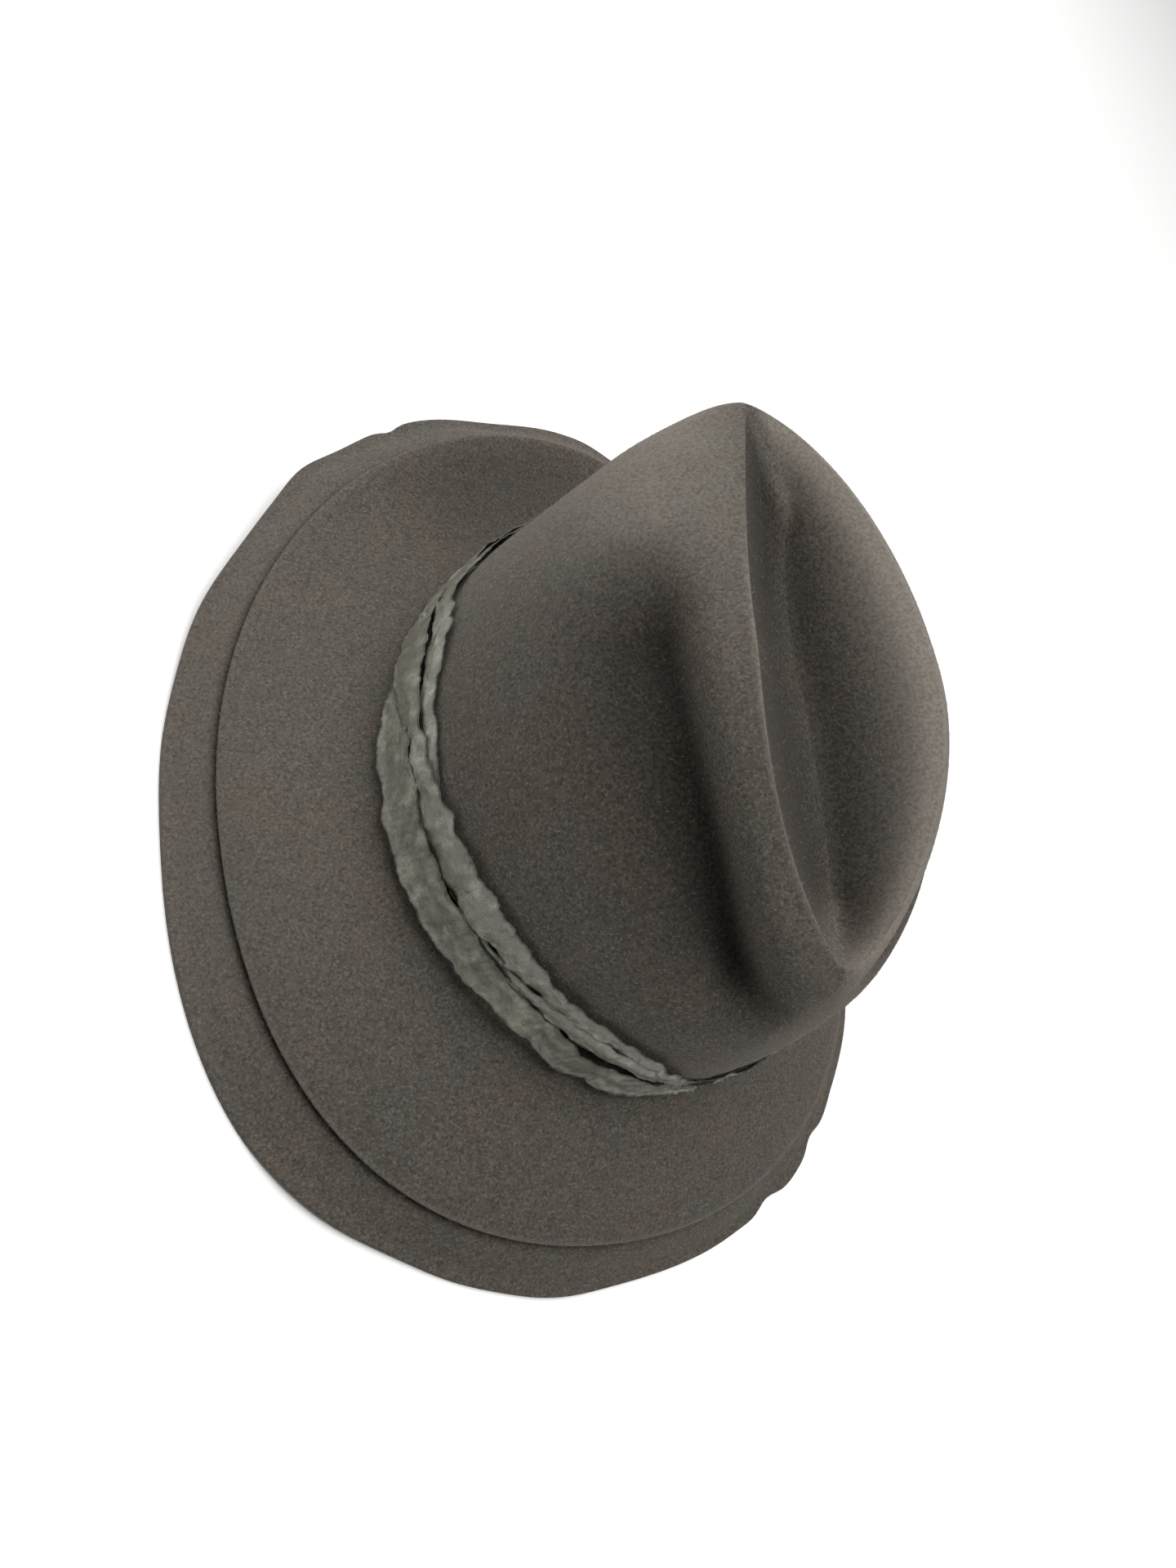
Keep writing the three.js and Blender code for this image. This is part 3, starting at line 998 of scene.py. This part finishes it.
    def build(self, material: bpy.types.Material) -> bpy.types.Object:
        """The felt as one closed mesh, its upper face, cut edge and under face.

        Args:
            material: the felt's finish.

        Returns:
            The piece.
        """
        top, values = self.top_rows()
        normals = grid_normals(top)
        normals[0] = (0, 0, 1)
        last = len(top) - 1
        under_rows = self.under_rows(last)
        under = top - normals * FORM.felt_thickness
        under[-1] = top[-1] - np.array([0, 0, FORM.felt_thickness])
        flat = under[under_rows].reshape(-1, 3)
        flat[:, 2] = np.maximum(flat[:, 2], 0)
        points = np.vstack([top.reshape(-1, 3), flat])
        first_under = top.shape[0] * self.columns
        faces = self.sheet_faces(np.arange(len(top)), turned=False)
        below = self.sheet_faces(np.arange(len(under_rows)), turned=True)
        faces += [tuple(v + first_under for v in f) for f in below]
        last_under = first_under + (len(under_rows) - 1) * self.columns
        for column in range(self.columns):
            following = (column + 1) % self.columns
            here, there = last * self.columns + column, last * self.columns + following
            faces.append((here, last_under + column, last_under + following, there))
        used = np.unique(np.concatenate([np.array(f) for f in faces]))
        renumber = np.full(len(points), -1)
        renumber[used] = np.arange(len(used))
        faces = [tuple(int(renumber[v]) for v in f) for f in faces]
        piece = mesh_object("felt_shell", points[used] + shift_to_frame(), faces, material)
        values["upper"] = np.ones(top.shape[:2])
        values["upper"][-self.bare_rows:] = 0
        for name, value in values.items():
            stored = np.zeros(len(points))
            stored[:first_under] = value.ravel()
            put_values(piece, name, stored[used])
        return piece

    def dress(self, shell: bpy.types.Object) -> list[bpy.types.Object]:
        """Stands the nap on the felt.

        Args:
            shell: the felt.

        Returns:
            The pieces of nap.
        """
        finish = NapFinish().material()
        pieces = [layer.build(shell, finish) for layer in NAP_LAYERS]
        for piece in pieces:
            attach(piece, "root")
            LOG.info("%s: %d faces", piece.name, len(piece.data.polygons))
        return pieces


def shift_to_frame() -> np.ndarray:
    """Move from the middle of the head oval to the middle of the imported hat's outline.

    Returns:
        The move.
    """
    low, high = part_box("felt_body")
    angle = np.linspace(0, 2 * math.pi, OUTLINE_SAMPLES, endpoint=False)
    edge = FORM.brim(np.full_like(angle, BRIM_RINGS.last()), angle)
    middle = (edge.min(0) + edge.max(0)) / 2
    return np.array([(low.x + high.x) / 2 - middle[0], (low.y + high.y) / 2 - middle[1], low.z])


def head_round() -> float:
    """Length round the head oval at the foot of the crown, in metres."""
    return math.pi * (FORM.head_length + FORM.head_width) / 2


@dataclass(frozen=True)
class Wall:
    """The crown's wall, read by height above its foot."""

    samples: int = 160
    highest_place: float = 3.5

    def points(self, height: np.ndarray, angle: np.ndarray) -> np.ndarray:
        """Points of the felt's wall.

        Args:
            height: heights above the foot, one row for each line of a strip, one column for each angle.
            angle: angles from the front in radians, one for each column.

        Returns:
            The points.
        """
        places = np.linspace(CROWN_RINGS.last(), self.highest_place, self.samples)
        grid = FORM.crown(places[:, None] + 0 * angle[None, :], angle[None, :] + 0 * places[:, None])
        levels = grid[..., 2] - FORM.foot_level(np.sin(angle), np.cos(angle))[None, :]
        found = np.empty_like(height)
        for column in range(len(angle)):
            found[:, column] = np.interp(height[:, column], levels[:, column], places)
        return FORM.crown(found, angle[None, :] + 0 * found)


STRIP_COLUMNS = ("turn", "low", "high", "stand")


@dataclass(frozen=True)
class Ripple:
    """A sum of count waves round the hat, each of fewest to most turns.

    Drift is how much they shift across the strip, and weight how much they add to what they are part of.
    """

    fewest: int
    most: int
    count: int
    drift: float = 1.0
    weight: float = 1.0

    def draw(self, draws: np.random.Generator, angle: np.ndarray, across: np.ndarray) -> np.ndarray:
        """The waves, before their weight.

        Args:
            draws: the strip's own random numbers.
            angle: angles of the columns.
            across: shares of the way across, one row for each line.

        Returns:
            Values of about -1 to 1, one row for each line.
        """
        total = np.zeros(np.broadcast(angle, across).shape)
        for _ in range(self.count):
            number = int(draws.integers(self.fewest, self.most))
            phase, drift = draws.uniform(0, 2 * math.pi), draws.uniform(-3, 3)
            wave = np.sin(number * angle + phase + drift * self.drift * across)
            total = total + draws.uniform(0.5, 1) * wave
        return total / math.sqrt(self.count)


@dataclass(frozen=True)
class SatinStrip:
    """One raw-edged satin strip round the crown.

    The stations are read round the hat from the front to the wearer's right: the turn in degrees, the
    heights of both edges above the foot and how far the strip stands off the felt, in millimetres. The
    other sizes are in metres. A strip narrower than wavy_width or creased_width waves or creases less.
    """

    name: str
    node: str
    stations: tuple[tuple[float, float, float, float], ...]
    seed: int
    flat_width: float
    flare: float = 0.0
    bulge: float = 0.5 * MM
    thickness: float = 0.35 * MM
    crumple: float = 0.62 * MM
    curl_low: float = 0.9 * MM
    curl_high: float = 0.6 * MM
    # How far the painted shade reaches in from each edge.
    dark_edge: float = 0.55 * MM
    least_width: float = 1.5 * MM
    least_stand: float = 0.25 * MM
    least_height: float = 0.4 * MM
    wavy_width: float = 9 * MM
    wavy_least: float = 0.25
    creased_width: float = 8 * MM
    creased_least: float = 0.2
    wave_ripple: Ripple = Ripple(26, 80, 7, weight=0.9 * MM)
    fray_ripple: Ripple = Ripple(110, 300, 8, weight=0.16 * MM)
    soft_ripple: Ripple = Ripple(10, 40, 6, 0.7, weight=0.7)
    sharp_ripple: Ripple = Ripple(24, 80, 6, 3.2, weight=0.8)
    fine_ripple: Ripple = Ripple(120, 300, 6, 5, weight=0.15)
    curl_ripple: Ripple = Ripple(18, 60, 5, 0, weight=0.4)
    curl_least: float = 0.6
    edge_power: int = 3
    soften_turn: int = 4
    columns: int = 1440
    lines: int = 15

    def station(self, column: str, turn: np.ndarray) -> np.ndarray:
        """A column of the stations at any turn, softened so that it has no corners.

        Args:
            column: its name.
            turn: turns in degrees, evenly spaced all round.

        Returns:
            The values in metres.
        """
        table = np.array(self.stations, float)
        values = table[:, STRIP_COLUMNS.index(column)]
        turns = np.concatenate([table[:, 0] - 360, table[:, 0], table[:, 0] + 360])
        rough = np.interp(turn, turns, np.tile(values, 3))
        reach = len(turn) * self.soften_turn // 360
        window = np.hanning(2 * reach + 1)
        padded = np.concatenate([rough[-reach:], rough, rough[:reach]])
        return np.convolve(padded, window / window.sum(), mode="valid") * MM

    def edges(
        self, draws: np.random.Generator, angle: np.ndarray, turn: np.ndarray
    ) -> tuple[np.ndarray, np.ndarray]:
        """Heights of the strip's wavy, frayed edges.

        Args:
            draws: the strip's own random numbers.
            angle: angles of the columns.
            turn: their turns in degrees.

        Returns:
            The lower and the upper edge's heights above the foot.
        """
        low, high = self.station("low", turn), self.station("high", turn)
        swing_low, swing_high = (
            sum(r.weight * r.draw(draws, angle, end) for r in (self.wave_ripple, self.fray_ripple))
            for end in (np.zeros((1, 1)), np.ones((1, 1)))
        )
        slender = np.clip((high - low) / self.wavy_width, self.wavy_least, 1)
        low = low + slender * swing_low[0]
        return low, np.maximum(high + slender * swing_high[0], low + self.least_width)

    def standing(
        self,
        draws: np.random.Generator,
        angle: np.ndarray,
        across: np.ndarray,
        width: np.ndarray,
        stand: np.ndarray,
    ) -> np.ndarray:
        """How far the strip stands off the felt, with its bulge, creases and curled edges.

        Args:
            draws: the strip's own random numbers.
            angle: angles of the columns.
            across: shares of the way across, one row for each line.
            width: the strip's width at each column.
            stand: how far it stands off before the rest is added.

        Returns:
            The distances, one row for each line.
        """
        wide = np.clip(width / self.creased_width, self.creased_least, 1)
        creases = self.soft_ripple.weight * self.soft_ripple.draw(draws, angle, across)
        sharp = 1 - np.abs(self.sharp_ripple.draw(draws, angle, across))
        creases = creases + self.sharp_ripple.weight * sharp
        creases = creases + self.fine_ripple.weight * self.fine_ripple.draw(draws, angle, across)
        lift = self.curl_least + self.curl_ripple.weight * self.curl_ripple.draw(draws, angle, across)
        away = stand + self.bulge * wide * np.sin(math.pi * across) + self.crumple * creases * wide
        curl = np.where(across < 0.5, self.curl_low, self.curl_high)
        away = away + curl * lift * (1 - 4 * across * (1 - across)) ** self.edge_power
        return np.maximum(away, self.least_stand) + self.flare * (1 - across) ** self.edge_power

    def build(self, material: bpy.types.Material) -> bpy.types.Object:
        """The strip as one closed thin mesh with its own map in metres.

        Args:
            material: the satin's finish.

        Returns:
            The piece.
        """
        draws = np.random.default_rng(self.seed)
        angle = np.linspace(0, 2 * math.pi, self.columns, endpoint=False)
        turn = -np.degrees(angle) % 360
        across = (0.5 - 0.5 * np.cos(np.linspace(0, math.pi, self.lines)))[:, None]
        low, high = self.edges(draws, angle, turn)
        away = self.standing(draws, angle, across, high - low, self.station("stand", turn))
        wall = Wall().points(np.maximum(low + (high - low) * across, self.least_height), angle)
        normals = grid_normals(wall[::-1])[::-1]
        outer = wall + normals * (away + self.thickness)[..., None]
        inner = wall + normals * away[..., None]
        points = np.vstack([outer, inner[::-1]]) + shift_to_frame()
        rows = len(points)
        row, column = np.meshgrid(np.arange(rows), np.arange(self.columns), indexing="ij")
        following_row, following = (row + 1) % rows, (column + 1) % self.columns
        corners = (
            row * self.columns + column,
            row * self.columns + following,
            following_row * self.columns + following,
            following_row * self.columns + column,
        )
        faces = np.stack(corners, axis=-1).reshape(-1, 4)
        piece = mesh_object(self.name, points.reshape(-1, 3), faces, material)
        both = np.vstack([across, across[::-1]]) + 0 * row
        # Painted shade along both edges of the strip.
        edge = np.minimum(both, 1 - both) * (high - low) / self.dark_edge
        put_values(piece, "edge_shade", np.exp(-(edge**2)).ravel())
        self.map_strip(piece, both, high - low)
        return piece

    def map_strip(self, piece: bpy.types.Object, across: np.ndarray, width: np.ndarray) -> None:
        """Gives the strip a map in metres, along it and across it.

        Args:
            piece: the strip.
            across: shares of the way across, for each of its points.
            width: its width at each column.
        """
        length = head_round()
        vertex = np.empty(len(piece.data.loops), int)
        piece.data.loops.foreach_get("vertex_index", vertex)
        column = vertex % self.columns
        furthest = column.reshape(-1, 4).max(axis=1).repeat(4)
        closing = (column == 0) & (furthest > 1)
        along = np.where(closing, length, column / self.columns * length)
        height = (across * width[None, :]).reshape(-1)[vertex]
        map_layer = piece.data.uv_layers.new(name="strip")
        map_layer.data.foreach_set("uv", np.stack([along, height], axis=-1).astype(np.float32).ravel())


# Round the front and the right side the strips lie above each other. Behind it the upper strip runs down
# across the lower one.
SATIN_STRIPS = (
    SatinStrip(
        "satin_lower", "ribbon_lower", seed=11, flat_width=0.017, flare=1.2 * MM, curl_high=1.3 * MM,
        stations=(
            (0, 5, 14, 0.2), (9, 4, 17, 0.8), (16, 3.2, 19.5, 1.5), (24, 4.5, 18.7, 1.5),
            (32, 5.5, 21, 1.3), (42, 8, 23, 1.3), (50, 7.5, 23, 1.4), (58, 4.5, 23, 1.6),
            (66, 3.5, 22, 1.8), (74, 2.5, 20.5, 1.9), (90, 2.2, 20.5, 1.8), (100, 2.4, 19.5, 1.4),
            (106, 3.5, 17, 1.3), (111, 6.5, 14, 1), (115, 9.5, 12, 0.7), (120, 9, 13, 0.3),
            (140, 7, 15, 0.3), (160, 5, 15, 0.3), (180, 3, 16, 0.8), (220, 2.5, 17, 1.2),
            (270, 2.5, 20, 1.4), (320, 3, 20, 1.4),
        ),
    ),
    SatinStrip(
        "satin_fold", "ribbon_fold", seed=23, flat_width=0.011, bulge=0.9 * MM, crumple=0.25 * MM,
        stations=(
            (0, 9, 15, 0.2), (9, 15, 22, 0.7), (16, 21.5, 28, 1.3), (30, 23, 30.5, 1.4),
            (40, 23, 30, 1.3), (48, 21.5, 26.5, 1.3), (56, 21, 24.5, 1.2), (64, 20.5, 22.5, 0.8),
            (70, 20, 26, 0.2), (80, 20, 27, 0.2), (87, 22, 30, 0.3), (95, 23, 31.5, 0.5),
            (103, 24, 31, 0.7), (110, 25, 33.5, 0.9), (118, 24.5, 34, 1.0), (124, 19.5, 29.5, 1.2),
            (128, 15, 26.5, 1.2), (134, 13.5, 24.5, 1.0), (141, 16, 27, 0.7), (150, 16, 27, 0.5),
            (180, 15, 25, 0.8), (240, 17, 27, 0.6), (300, 20, 28, 0.8),
        ),
    ),
    SatinStrip(
        "satin_upper", "ribbon_upper", seed=37, flat_width=0.015, curl_low=0.2 * MM,
        stations=(
            (0, 10, 16, 0.2), (9, 17, 25, 0.7), (18, 26.5, 33.5, 1.2), (30, 30, 36.2, 1.3),
            (40, 29, 36, 1.4), (50, 26, 36.2, 1.2), (60, 23, 36.6, 1.2), (68, 21, 35.6, 1.2),
            (78, 18, 33, 1.2), (90, 17.5, 28.3, 1.4), (100, 15.5, 26, 2.2), (108, 9.5, 24.7, 2.3),
            (116, 4.5, 24.7, 2.2), (122, 2.5, 20.5, 1.9), (128, 2, 16, 1.8), (135, 2, 20.5, 1.6),
            (142, 2, 24.5, 1.4), (150, 2, 25.5, 1.4), (180, 12, 26, 1.3), (220, 14, 28, 1.2),
            (270, 18, 31, 1.1), (320, 21, 33, 1),
        ),
    ),
)


@dataclass(frozen=True)
class SatinTrim:
    """The three strips that lie over each other round the foot of the crown."""

    strips: tuple[SatinStrip, ...] = SATIN_STRIPS

    def build(self) -> list[bpy.types.Object]:
        """Builds the strips and says what they are.

        Returns:
            The pieces.
        """
        satin = SatinFinish().material()
        pieces = []
        for strip in self.strips:
            piece = strip.build(satin)
            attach(piece, "root")
            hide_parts(strip.node)
            LOG.info("%s: %d faces", piece.name, len(piece.data.polygons))
            pieces.append(piece)
        return pieces


class Nap(Enum):
    """The two kinds of fibre that stand on the felt."""

    SHORT = "felt_nap_short"
    LONG = "felt_nap_long"


@dataclass(frozen=True)
class NapLayer:
    """Fibres scattered over the upper face of the felt by Geometry Nodes.

    Steepest and flattest are a fibre's least and greatest lean from upright in degrees, and bend is how far
    its tip bends over, as a share of its length. The ranges are shares of the length and the radius.
    """

    kind: Nap
    per_square_metre: float
    length: float
    radius: float
    steepest: float
    flattest: float
    bend: float
    segments: int
    seed: int
    length_range: tuple[float, float] = (0.5, 1.2)
    radius_range: tuple[float, float] = (0.7, 1.3)
    thinned: Span = Span(0, 1, 1, 0.2)

    def tree(self, finish: bpy.types.Material) -> bpy.types.NodeTree:
        """The node tree that scatters the fibres.

        Args:
            finish: the fibres' material.

        Returns:
            The tree, whose inputs are Geometry, Density, Length, Radius and Seed.
        """
        tree = bpy.data.node_groups.new(self.kind.value, "GeometryNodeTree")
        face = tree.interface
        face.new_socket("Geometry", in_out="INPUT", socket_type="NodeSocketGeometry")
        for name in ("Density", "Length", "Radius"):
            face.new_socket(name, in_out="INPUT", socket_type="NodeSocketFloat")
        face.new_socket("Seed", in_out="INPUT", socket_type="NodeSocketInt")
        face.new_socket("Geometry", in_out="OUTPUT", socket_type="NodeSocketGeometry")
        nodes = Nodes(tree)
        given = nodes.add("NodeGroupInput").outputs
        # The nap thins out where shade is painted on the felt.
        upper, painted_shade = (
            nodes.add("GeometryNodeInputNamedAttribute", {"Name": name}, data_type="FLOAT")
            for name in ("upper", "painted_shade")
        )
        share = nodes.spread(painted_shade.outputs["Attribute"], self.thinned)
        standing = nodes.math("MULTIPLY", upper.outputs["Attribute"], share)
        density = nodes.math("MULTIPLY", given["Density"], standing)
        inputs = {"Mesh": given["Geometry"], "Density": density, "Seed": given["Seed"]}
        points = nodes.add("GeometryNodeDistributePointsOnFaces", inputs, distribute_method="RANDOM")
        fibre = self.fibre(nodes)
        tilt = self.random(nodes, math.radians(self.steepest), math.radians(self.flattest), 1)
        spin = self.random(nodes, 0, 2 * math.pi, 2)
        angles = nodes.add("ShaderNodeCombineXYZ", {"X": tilt, "Z": spin})
        lean = nodes.add("FunctionNodeEulerToRotation", {0: angles.outputs[0]})
        inputs = {"Rotation": points.outputs["Rotation"], "Rotate By": lean.outputs[0]}
        turned = nodes.add("FunctionNodeRotateRotation", inputs, rotation_space="LOCAL")
        size = nodes.math("MULTIPLY", given["Length"], self.random(nodes, *self.length_range, 3))
        thick = nodes.math("MULTIPLY", given["Radius"], self.random(nodes, *self.radius_range, 4))
        scale = nodes.add("ShaderNodeCombineXYZ", {"X": thick, "Y": thick, "Z": size})
        inputs = {
            "Points": points.outputs["Points"],
            "Instance": fibre,
            "Rotation": turned.outputs[0],
            "Scale": scale.outputs[0],
        }
        fibres = nodes.add("GeometryNodeInstanceOnPoints", inputs)
        real = nodes.add("GeometryNodeRealizeInstances", {"Geometry": fibres.outputs["Instances"]})
        inputs = {"Geometry": real.outputs["Geometry"], "Material": finish}
        dressed = nodes.add("GeometryNodeSetMaterial", inputs)
        nodes.add("NodeGroupOutput", {"Geometry": dressed.outputs["Geometry"]})
        return tree

    def fibre(self, nodes: Nodes) -> bpy.types.NodeSocket:
        """One fibre of length and radius 1, a three-sided cone with the layer's bend.

        Args:
            nodes: the tree's nodes.

        Returns:
            The socket with its geometry.
        """
        inputs = {
            "Vertices": 3,
            "Side Segments": self.segments,
            "Radius Top": 0.0,
            "Radius Bottom": 1.0,
            "Depth": 1.0,
        }
        cone = nodes.add("GeometryNodeMeshCone", inputs)
        place = nodes.add("GeometryNodeInputPosition").outputs[0]
        height = nodes.add("ShaderNodeSeparateXYZ", {0: place}).outputs["Z"]
        square = nodes.math("MULTIPLY", height, height)
        sideways = nodes.math("MULTIPLY", square, self.bend * self.length / self.radius)
        bent = nodes.add("ShaderNodeCombineXYZ", {"Y": sideways})
        inputs = {"Geometry": cone.outputs["Mesh"], "Offset": bent.outputs[0]}
        return nodes.add("GeometryNodeSetPosition", inputs).outputs["Geometry"]

    def random(self, nodes: Nodes, low: float, high: float, offset: int) -> bpy.types.NodeSocket:
        """A random number for each fibre.

        Args:
            nodes: the tree's nodes.
            low: the least value.
            high: the greatest value.
            offset: added to the layer's seed, so that each property has its own numbers.

        Returns:
            The socket with the number.
        """
        node = nodes.add("FunctionNodeRandomValue", data_type="FLOAT")
        node.inputs[2].default_value, node.inputs[3].default_value = low, high
        node.inputs["Seed"].default_value = self.seed + offset
        return node.outputs[1]

    def build(self, carrier: bpy.types.Object, finish: bpy.types.Material) -> bpy.types.Object:
        """Scatters the fibres and turns them into a plain mesh.

        Args:
            carrier: the felt that they stand on.
            finish: their material.

        Returns:
            The piece.
        """
        tree = self.tree(finish)
        holder = bpy.data.objects.new("nap holder", carrier.data)
        bpy.context.scene.collection.objects.link(holder)
        modifier = holder.modifiers.new("nap", "NODES")
        modifier.node_group = tree
        wanted = {
            "Density": self.per_square_metre,
            "Length": self.length,
            "Radius": self.radius,
            "Seed": self.seed,
        }
        for socket in tree.interface.items_tree:
            if socket.in_out == "INPUT" and socket.name in wanted:
                modifier[socket.identifier] = wanted[socket.name]
        evaluated = holder.evaluated_get(bpy.context.evaluated_depsgraph_get())
        mesh = bpy.data.meshes.new_from_object(evaluated)
        holder.modifiers.remove(modifier)
        bpy.data.objects.remove(holder)
        mesh.name = self.kind.value
        piece = bpy.data.objects.new(self.kind.value, mesh)
        bpy.context.scene.collection.objects.link(piece)
        return piece


NAP_LAYERS = (
    NapLayer(
        Nap.SHORT, per_square_metre=360000, length=1.3 * MM, radius=0.035 * MM,
        steepest=50, flattest=84, bend=0.0, segments=1, seed=5,
    ),
    NapLayer(
        Nap.LONG, per_square_metre=70000, length=2.9 * MM, radius=0.03 * MM,
        steepest=62, flattest=88, bend=0.35, segments=2, seed=9,
    ),
)


@dataclass(frozen=True)
class Lamp:
    """A square soft light that faces the hat, by its place and side in metres and its power in watts."""

    name: str
    place: tuple[float, float, float]
    power: float
    side: float = 1.2
    aim: tuple[float, float, float] = (0, 0, 0.05)

    def build(self) -> bpy.types.Object:
        """Adds the light to the scene.

        Returns:
            The light.
        """
        data = bpy.data.lights.new(self.name, "AREA")
        data.shape = "SQUARE"
        data.size = self.side
        data.energy = self.power
        lamp = bpy.data.objects.new(self.name, data)
        lamp.location = self.place
        way = Vector(self.aim) - Vector(self.place)
        lamp.rotation_euler = way.to_track_quat("-Z", "Y").to_euler()
        bpy.context.scene.collection.objects.link(lamp)
        return lamp


LAMPS = (
    Lamp("window", (-0.1, 1.46, 0.36), 18),
    Lamp("left window", (-1.22, 0.7, 0.56), 2),
    Lamp("far fill", (1.36, -0.36, 0.56), 3.5),
    Lamp("ceiling", (0.0, 0.0, 1.55), 26),
)


@dataclass(frozen=True)
class Studio:
    """A pale floor, soft lights and the camera, which stands above the hat's right side."""

    eye: tuple[float, float, float] = (-0.2577, -0.1241, 0.3704)
    forward: tuple[float, float, float] = (0.5746, 0.2955, -0.7632)
    right: tuple[float, float, float] = (0.8172, -0.1554, 0.5551)
    lens: float = 28.22
    sensor: float = 36
    near: float = 0.01
    far: float = 50
    floor_side: float = 6.0
    floor_dark: Tone = Tone(0.93, 0.93, 0.925)
    floor_light: Tone = Tone(0.95, 0.95, 0.945)
    floor_clouds: Grain = Grain(3, 2, 0.5)
    glow: Tone = Tone(1, 0.995, 0.985)
    floor_roughness: float = 0.9
    floor_specular: float = 0.1
    floor_glow: float = 0.12
    sky_glow: float = 0.02

    def camera(self) -> bpy.types.Object:
        """The camera at the photo's place, turned as the photo is.

        Returns:
            The camera, which the scene looks through.
        """
        data = bpy.data.cameras.new("camera")
        data.lens = self.lens
        data.sensor_width = self.sensor
        data.clip_start, data.clip_end = self.near, self.far
        camera = bpy.data.objects.new("camera", data)
        forward = Vector(self.forward).normalized()
        right = Vector(self.right)
        right = (right - forward * right.dot(forward)).normalized()
        up = right.cross(forward)
        turn = Matrix((right, up, -forward)).transposed().to_4x4()
        camera.matrix_world = Matrix.Translation(self.eye) @ turn
        bpy.context.scene.collection.objects.link(camera)
        bpy.context.scene.camera = camera
        return camera

    def floor(self) -> bpy.types.Object:
        """A large pale floor that glows a little, as the photo's white ground.

        Returns:
            The floor.
        """
        material, nodes, shader = new_material("floor")
        clouds = nodes.noise(nodes.place(), self.floor_clouds)
        nodes.fill(shader, {
            "Base Color": nodes.blend(clouds, self.floor_dark.rgba(), self.floor_light.rgba()),
            "Roughness": self.floor_roughness,
            "Specular IOR Level": self.floor_specular,
            "Emission Color": self.glow.rgba(),
            "Emission Strength": self.floor_glow,
        })
        half = self.floor_side / 2
        corners = np.array([[-half, -half, 0], [half, -half, 0], [half, half, 0], [-half, half, 0]])
        floor = mesh_object("floor", corners, [(0, 1, 2, 3)], material)
        return floor

    def build(self) -> None:
        """Sets up camera, floor, lights and sky."""
        self.camera()
        self.floor()
        for lamp in LAMPS:
            lamp.build()
        world = bpy.data.worlds.new("studio")
        world.use_nodes = True
        sky = world.node_tree.nodes["Background"]
        sky.inputs["Color"].default_value = self.glow.rgba()
        sky.inputs["Strength"].default_value = self.sky_glow
        bpy.context.scene.world = world
        bpy.context.scene.view_settings.view_transform = "Standard"


def main() -> None:
    """Builds the studio and the hat, in order."""
    logging.basicConfig(level=logging.INFO, format="%(name)s: %(message)s")
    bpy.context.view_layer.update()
    Studio().build()
    hat = FeltHat()
    shell = hat.build(FeltFinish().material())
    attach(shell, "root")
    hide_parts("felt_body")
    LOG.info("felt_shell: %d faces", len(shell.data.polygons))
    hat.dress(shell)
    SatinTrim().build()


if __name__ == "__main__":
    main()
